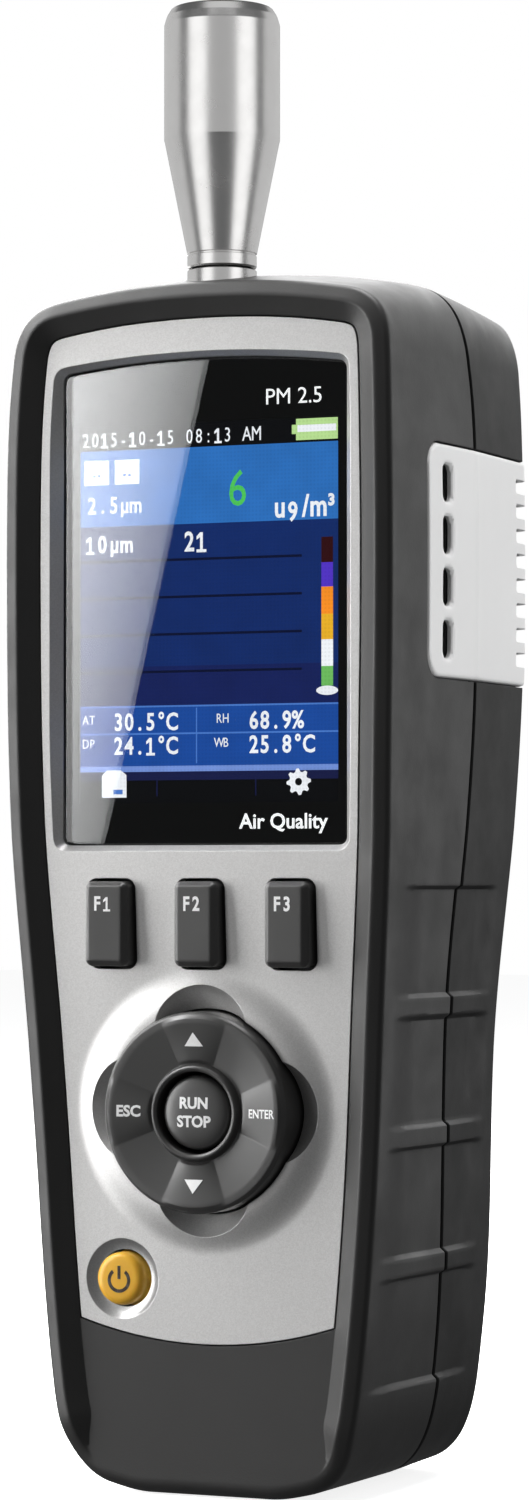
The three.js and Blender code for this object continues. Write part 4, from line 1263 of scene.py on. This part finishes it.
def readings(art, ink):
    """Particle readings: date, battery, the two size channels and the empty rows below them."""
    art.row("2015-10-15 08:13 AM", -24.9, 64.0, 2.6, 1.85, ink.white, 1, 0.0, 0.75)
    art.box(16.9, 24.8, 62.6, 66.3, ink.charge, 1)
    art.box(17.2, 24.5, 64.0, 65.2, ink.white, 2)
    art.box(16.1, 16.9, 63.7, 65.3, ink.charge, 1)
    art.box(-25, 25, 48.8, 62.2, ink.band, 1)
    for left in (-24.2, -18.2):
        art.box(left, left + 4.8, 56.2, 60.5, ink.white, 2)
        art.disc(left + 1.9, 57.8, 0.7, 0.5, ink.line, 3)
        art.disc(left + 2.9, 57.8, 0.7, 0.5, ink.line, 3)
    art.row("2.5µm", -23.8, 52.4, 3.0, 2.15, ink.white, 2, 0.02)
    art.text("6", 5.7, 54.4, 6.6, ink.green, 2, 0.0, 0.85)
    art.row("u /m³", 12.6, 51.0, 3.9, 2.45, ink.white, 2, 0.03)
    art.text("9", 16.3, 50.1, 3.4, ink.white, 2, 0.03, 0.82)  # lowered, it reads as a plain g
    art.row("10µm", -24.3, 45.5, 3.1, 2.4, ink.white, 1, 0.03)
    art.row("21", -4.8, 45.5, 3.5, 2.35, ink.white, 1, 0.03)
    for row in range(4):
        v = 42.6 - 6.53 * row
        art.box(-25, 18, v - 0.22, v + 0.22, ink.rule, 1)


def level_bar(art, ink):
    """Colour scale down the right side, with its pointer."""
    steps = [45.7, 41.3, 37.1, 32.4, 28.0, 23.4, 20.0]
    colours = (ink.maroon, ink.purple, ink.orange, ink.amber, ink.white, ink.leaf)
    for top, bottom, colour in zip(steps, steps[1:], colours):
        art.box(21.7, 23.9, bottom, top, colour, 1)
    art.disc(22.8, 19.2, 4.1, 1.6, ink.white, 2)


def climate_table(art, ink):
    """Two rows of temperature and humidity, and the foot of the screen."""
    art.box(-25, 25, 6.5, 17.1, ink.table, 1)
    art.box(-25, 25, 16.8, 17.1, ink.line, 2)
    art.box(-25, 25, 12.0, 12.3, ink.line, 2)
    art.box(-2.3, -2.1, 6.9, 16.6, ink.line, 2)
    cells = [
        ("AT", "30.5°C", -24.6, -18.5, 14.1), ("RH", "68.9%", 1.5, 7.8, 14.1),
        ("DP", "24.1°C", -24.6, -18.5, 9.9), ("WB", "25.8°C", 1.5, 7.8, 9.9),
    ]
    for label, value, label_u, value_u, v in cells:
        art.row(label, label_u, v + 0.5, 1.7, 1.3, ink.white, 2, 0.0, 0.8)
        art.row(value, value_u, v, 3.1, 2.1, ink.white, 2, 0.03)
    art.box(-25, 25, 5.5, 6.5, ink.glow, 1)
    art.box(-25, 25, 4.0, 5.5, ink.dusk, 1)
    for u in (-9.9, 9.2):
        art.box(u - 0.08, u + 0.08, 1.2, 4.4, ink.dusk, 2)


def icons(art, ink):
    """Page and gear symbols over the outer soft keys."""
    page = [(-20.7, 1.0), (-15.9, 1.0), (-15.9, 5.0), (-17.0, 5.8), (-19.7, 5.8), (-20.7, 4.9)]
    art.shape(page, ink.white, 2)
    art.box(-18.4, -16.6, 1.6, 2.4, ink.line, 3)
    teeth = 8
    outline = []
    for k in range(teeth * 4):
        radius = 2.3 if k % 4 in (0, 1) else 1.75
        angle = 2 * math.pi * k / (teeth * 4)
        outline.append((17.4 + radius * math.cos(angle), 3.5 + radius * math.sin(angle)))
    art.shape(outline, ink.white, 2)
    art.disc(17.4, 3.5, 1.3, 1.3, ink.black, 3)


def display():
    glass = mesh_from(*skin([
        on_y(window_outline(-0.25), GLASS_Y), on_y(window_outline(-0.05), GLASS_Y + 0.08),
        on_y(window_outline(0), GLASS_Y + 0.25), on_y(window_outline(0), GLASS_Y + GLASS_THICK),
    ]))
    add_piece("window_glass", glass, "case", MAT.glass, "display_window", crease=8)
    top = SCREEN.z0 + SCREEN.height
    border = cut(
        prism(window_outline(-0.05), GLASS_Y + GLASS_THICK + 0.03, GLASS_Y + GLASS_THICK + 0.2),
        block((-SCREEN.half_w, SCREEN.half_w), (-FAR, 0), (SCREEN.z0, top)),
    )
    add_piece("window_border", border, "case", MAT.mask)
    title = Artwork()
    title.text("Air Quality", 14.6, 117.0, 2.7, 0, weight=0.025)
    title.text("PM 2.5", 16.6, 190.6, 2.9, 0)
    # the title ink glows: painted light on print
    title.place("window_title", flat(GLASS_Y + GLASS_THICK + 0.05), "case", "display_glass", MAT.title)
    inks = [lit_pixels("pixels_" + name, srgb(*colour)) for name, colour in INK.items()]
    index = SimpleNamespace(**{name: i for i, name in enumerate(INK)})
    art = Artwork()
    art.box(-25.3, 25.3, -0.3, 66.8, index.black, 0)
    art.box(-25, 25, 17.0, 48.8, index.navy, 0.5)
    art.box(-25, 25, 17.0, 24.0, index.deep, 0.7)
    for draw in (readings, level_bar, climate_table, icons):
        draw(art, index)
    art.points = [(u, v + SCREEN.z0, side, level) for u, v, side, level in art.points]
    art.place("screen_image", flat(SCREEN.y), "case", "display_image", inks, step=0.05)


# ------- inlet probe


def inlet_probe():
    foot, neck = INLET_BASE_Z, INLET_BASE_Z + 2.4
    shoulder, top = INLET_SHOULDER_Z, INLET_TOP_Z
    profile = [
        (5.5, foot), (5.9, foot + 0.1), (INLET_NECK_R, foot + 0.4), (INLET_NECK_R, neck - 0.15),
        (5.85, neck), (5.85, neck + 0.2), (6.15, neck + 0.35),
        (INLET_R - 0.1, shoulder - 0.35), (INLET_R - 0.02, shoulder - 0.1), (INLET_R, shoulder + 0.15),
        (INLET_R, top - 3.1), (INLET_R - 0.05, top - 2.9), (INLET_R - 0.45, top - 1.6),
        (INLET_R - 0.6, top - 1.3),
        (9.0, top - 0.35), (8.7, top - 0.12), (8.4, top), (8.0, top), (7.8, top - 0.15),
        (7.4, top - 4), (2, shoulder - 8), (2, 227.2), (4.3, 227.2), (4.3, foot + 1.5), (5.5, foot + 1.5),
    ]
    probe = turned(profile, "Z", (0, INLET_Y, 0), 192)
    add_piece("turned_probe", probe, "inlet_probe", MAT.steel, "inlet_probe", crease=8)


def inlet_socket():
    """Threaded stub that holds the probe; its collar carries the neck's line down into the crown."""
    bore, foot, end = 1.8, 203.6, 225.6
    top = INLET_BASE_Z - GAP
    profile = [
        (bore, foot), (THREAD_R, foot), (THREAD_R, INLET_COLLAR_Z), (INLET_NECK_R, INLET_COLLAR_Z),
        (INLET_NECK_R, top - 0.1), (INLET_NECK_R - 0.1, top), (THREAD_R, top), (THREAD_R, 225.3),
        (THREAD_R - 0.3, end), (bore, end),
    ]
    socket = turned(profile, "Z", (0, INLET_Y, 0), 128)
    add_piece("inlet_socket", socket, "case", MAT.steel, "inlet_fitting", crease=20)


# ------- back fittings


def door_cover():
    """The battery door: a plate that follows the back, with a latch and five grip lines."""
    x, z = np.meshgrid(np.linspace(-DOOR.half_w, DOOR.half_w, 91), np.linspace(DOOR.z0, DOOR.z1, 160))
    height = DOOR.z1 - DOOR.z0
    border = -rounded_distance(x, z - (DOOR.z0 + DOOR.z1) / 2, 2 * DOOR.half_w, height, DOOR.corner)
    inner = np.stack([x, back_y(z) - DOOR.thick, z], -1)
    outer = np.stack([x, back_y(z) - roll_off(border, 0.5), z], -1)
    plate = keep(slab(inner, outer), door_column(0))
    top = float(back_y(DOOR.z1))
    plate = join(plate, block((-6, 6), (top - 5, top - 0.45), (DOOR.z1 - 3, DOOR.z1 + 0.8)))
    for i in range(5):
        line_z = DOOR.z1 - 6 - 2.2 * i
        line = rounded_rect(0, line_z, 16 - 1.4 * i, 1.0, 0.45, 4)
        plate = cut(plate, prism(line, float(back_y(line_z)) - 0.55, FAR))
    # the door wears the darker copy of the housing plastic too: painted shade
    add_piece("door_cover", plate, "battery_door", MAT.back, "battery_door")


def socket_flap():
    outside = -float(side_x(PORT.z)) - PORT.proud
    steps = [
        (0, outside + PORT.thick), (0, outside + 0.55), (0.06, outside + 0.3), (0.22, outside + 0.1),
        (0.5, outside), (1.6, outside), (1.9, outside + 0.2), (4.5, outside + 0.2),
    ]
    rings = []
    for inset, x in steps:
        width, height = PORT.depth - 2 * inset, PORT.height - 2 * inset
        rings.append(on_x(rounded_rect(PORT.y, PORT.z, width, height, max(0.3, 2 - inset)), x))
    flap = mesh_from(*skin(rings))
    lift_z = PORT.z + PORT.height / 2 - 1.5
    lift = prism_x(rounded_rect(PORT.y, lift_z, 6, 1.2, 0.5), outside - 0.6, outside + 0.5)
    add_piece("socket_flap", join(flap, lift), "port_cover", MAT.rubber, "port_cover")


def thread_insert():
    face = float(back_y(TRIPOD_Z)) - 0.2
    crest, root, outside, groove = 3.2, 3.62, INSERT_R, INSERT_R - 0.5
    profile = [
        (crest, TRIPOD_FRONT_Y), (outside, TRIPOD_FRONT_Y), (outside, face - 3), (groove, face - 2.6),
        (groove, face - 2.2), (outside, face - 1.8), (outside, face - 0.3), (4.8, face), (3.7, face),
    ]
    for k in range(int((face - TRIPOD_FRONT_Y - 1) / THREAD_PITCH)):
        y = face - 0.5 - k * THREAD_PITCH
        end = y - THREAD_PITCH + 0.15
        profile += [(crest, y), (crest, y - 0.15), (root, y - THREAD_PITCH / 2), (crest, end)]
    insert = turned(profile, "Y", (0, 0, TRIPOD_Z), 96)
    add_piece("thread_insert", insert, "case", MAT.brass, "tripod_insert")


def case_screws():
    for number, (x, z) in enumerate(SCREWS, 1):
        head = float(back_y(z)) - SCREW_HEAD_DEPTH
        start = float(seam_y(z)) + 3
        profile = [
            (0, start), (1.2, start), (SCREW_R, start + 0.2), (SCREW_R, head - 2), (SCREW_HEAD_R, head - 2),
            (SCREW_HEAD_R, head - 0.8), (2.5, head - 0.35), (1.9, head - 0.05), (0, head),
        ]
        body = turned(profile, "Y", (x, 0, z), 48)
        for w, h in ((1.7, 0.38), (0.38, 1.7)):
            body = cut(body, block((x - w, x + w), (head - 1.3, head + 1), (z - h, z + h)))
        add_piece(f"screw_{number}", body, "case", MAT.screw, f"case_screw_{number}")


# ------- inner pieces kept from the CAD

KEPT = {
    "board": ["keypad_board", "main_board", "detector_board", "air_sensor"],
    "black": ["lcd_module", "sensor_chamber", "blower_housing", "dc_jack", "battery_connector", "buzzer"],
    "rubber": ["nav_web", "keypad_membrane", "probe_oring", "intake_tube", "transfer_tube"],
    "sheet": ["lcd_frame", "usb_socket"],
    "brass": ["laser_module"],
    "vent": ["blower_rotor"],
    "cell": ["battery_pack"],
}


def dress_inner_pieces():
    for finish, nodes in KEPT.items():
        for node in nodes:
            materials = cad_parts[node].data.materials
            if not materials:
                materials.append(None)
            for i in range(len(materials)):
                materials[i] = getattr(MAT, finish)


# ------- stage, lights and camera


def direction(azimuth, elevation):
    """Unit vector towards a light or camera. Azimuth 0 is in front of the display, 90 on its right."""
    a, e = math.radians(azimuth), math.radians(elevation)
    return Vector((math.sin(a) * math.cos(e), -math.cos(a) * math.cos(e), math.sin(e)))


def place_camera():
    a = math.radians(CAMERA.azimuth)
    camera = new_object("camera", bpy.data.cameras.new("camera"))
    camera.data.lens = CAMERA.lens
    camera.data.sensor_width = 36
    camera.data.clip_start = 0.01
    sideways = Vector((math.cos(a), math.sin(a), 0)) * CAMERA.side
    away = direction(CAMERA.azimuth, 0) * CAMERA.distance
    camera.location = away + sideways + Vector((0, 0, CAMERA.height))
    camera.rotation_euler = (math.radians(90 + CAMERA.pitch), 0, a)
    bpy.context.scene.camera = camera


def softbox(name, azimuth, elevation, distance, size, watts, aim=(0, 0, 0.12), only=None, without=None):
    """A rectangular light on its aim; it can light only some pieces, or all without some."""
    data = bpy.data.lights.new(name, "AREA")
    data.shape = "RECTANGLE"
    data.size, data.size_y = size
    data.energy = watts
    lamp = new_object(name, data)
    aim = Vector(aim)
    lamp.location = aim + direction(azimuth, elevation) * distance
    lamp.rotation_euler = (aim - lamp.location).to_track_quat("-Z", "Y").to_euler()
    lamp.visible_camera = False
    for names, state in ((only, "INCLUDE"), (without, "EXCLUDE")):
        if names:
            group = bpy.data.collections.new(name + "_targets")
            for target in names:
                group.objects.link(bpy.data.objects[target])
            lamp.light_linking.receiver_collection = group
            for entry in group.collection_objects:
                entry.light_linking.link_state = state
    return lamp


PROBE_METAL = ["turned_probe", "inlet_socket"]
LIT_APART = [*PROBE_METAL, "window_glass", "window_border", "screen_image"]  # not lit by the room's lights
NOT_THE_VENT = [*LIT_APART, "vent_wrap"]


def studio():
    softbox("key", -60, 6, 1.1, (0.65, 0.9), 12, without=LIT_APART)
    softbox("front_fill", -20, 0, 1.2, (0.5, 0.8), 0.8, without=LIT_APART)
    softbox("upper_left", -70, 45, 1.1, (0.5, 0.5), 10, without=NOT_THE_VENT)
    softbox("left_back", -122, 30, 1.1, (0.6, 1.3), 24, without=NOT_THE_VENT)
    softbox("overhead", -20, 96, 1.0, (0.6, 0.5), 12, without=LIT_APART)
    softbox("back_top", 200, 34, 1.1, (1.3, 0.7), 9, without=NOT_THE_VENT)
    softbox("right_back", 140, 10, 1.2, (0.5, 1.0), 3.0, without=LIT_APART)
    softbox("vent_side", 100, 8, 0.8, (0.5, 0.5), 4.0, only=["vent_wrap"])
    softbox("vent_back", 195, 10, 0.8, (0.5, 0.5), 2.0, only=["vent_wrap"])
    probe = (0, INLET_Y * MM, 0.22)
    for i, (angle, elevation, width, height, watts) in enumerate(PROBE_CARDS):
        azimuth = CAMERA.azimuth + angle
        softbox(f"probe_card_{i}", azimuth, elevation, 0.7, (width, height), watts, probe, only=PROBE_METAL)
    glare_card()


def glare_card():
    """A leaning strip light that only the window mirrors, fading towards its inner edge."""
    lamp = softbox("glare", 0, 0, 0.6, GLARE.size, GLARE.watts, only=["window_glass"])
    lamp.location = GLARE.place
    lamp.rotation_euler = (math.radians(90), 0, 0)
    lamp.rotation_euler.rotate_axis("Z", math.radians(GLARE.lean))
    lamp.data.use_nodes = True
    n = Nodes(lamp.data.node_tree)
    emission = next(node for node in n.tree.nodes if node.type == "EMISSION")
    across = n.add("SeparateXYZ", n.add("NewGeometry").outputs["Parametric"]).outputs[0]
    n.set(emission, "Strength", n.span(across, 1.0, GLARE.edge))


def surroundings():
    """Near-white backdrop for the camera, and a dim even room for everything else."""
    world = bpy.data.worlds.new("studio")
    world.use_nodes = True
    n = Nodes(world.node_tree)
    n.tree.nodes.clear()
    room = n.add("Background", Color=(0.98, 0.99, 1, 1), Strength=ROOM_LIGHT)
    backdrop = n.add("Background", Color=(1, 1, 1, 1), Strength=1.0)
    seen = n.add("LightPath").outputs["Is Camera Ray"]
    mix = n.add("MixShader", seen, room.outputs[0], backdrop.outputs[0])
    n.add("OutputWorld", mix.outputs[0])
    bpy.context.scene.world = world


def floor():
    """A plain pale floor that takes a soft contact shadow and throws no light back."""
    corners = [(-1, -1), (1, -1), (1, 1), (-1, 1)]
    mesh = mesh_from([(u * FLOOR_HALF, v * FLOOR_HALF, FLOOR_Z) for u, v in corners], [[0, 1, 2, 3]])
    n = Finish("pale_floor")
    tone = n.blend(n.noise(3, 3), grey(0.86), grey(0.9))
    look = n.surface(Base_Color=tone, Roughness=0.8, Emission_Color=grey(1), Emission_Strength=0.84)
    mesh.materials.append(look)
    plane = new_object("pale_floor", mesh)
    plane.visible_diffuse = plane.visible_glossy = False


# ------- build

place_camera()
front_housing()
back_housing()
vent_wrap()
silver_front()
function_keys()
direction_ring()
run_stop()
power_cap()
display()
inlet_probe()
inlet_socket()
door_cover()
socket_flap()
thread_insert()
case_screws()
dress_inner_pieces()
surroundings()
floor()
studio()
bpy.context.scene.view_settings.view_transform = "Standard"
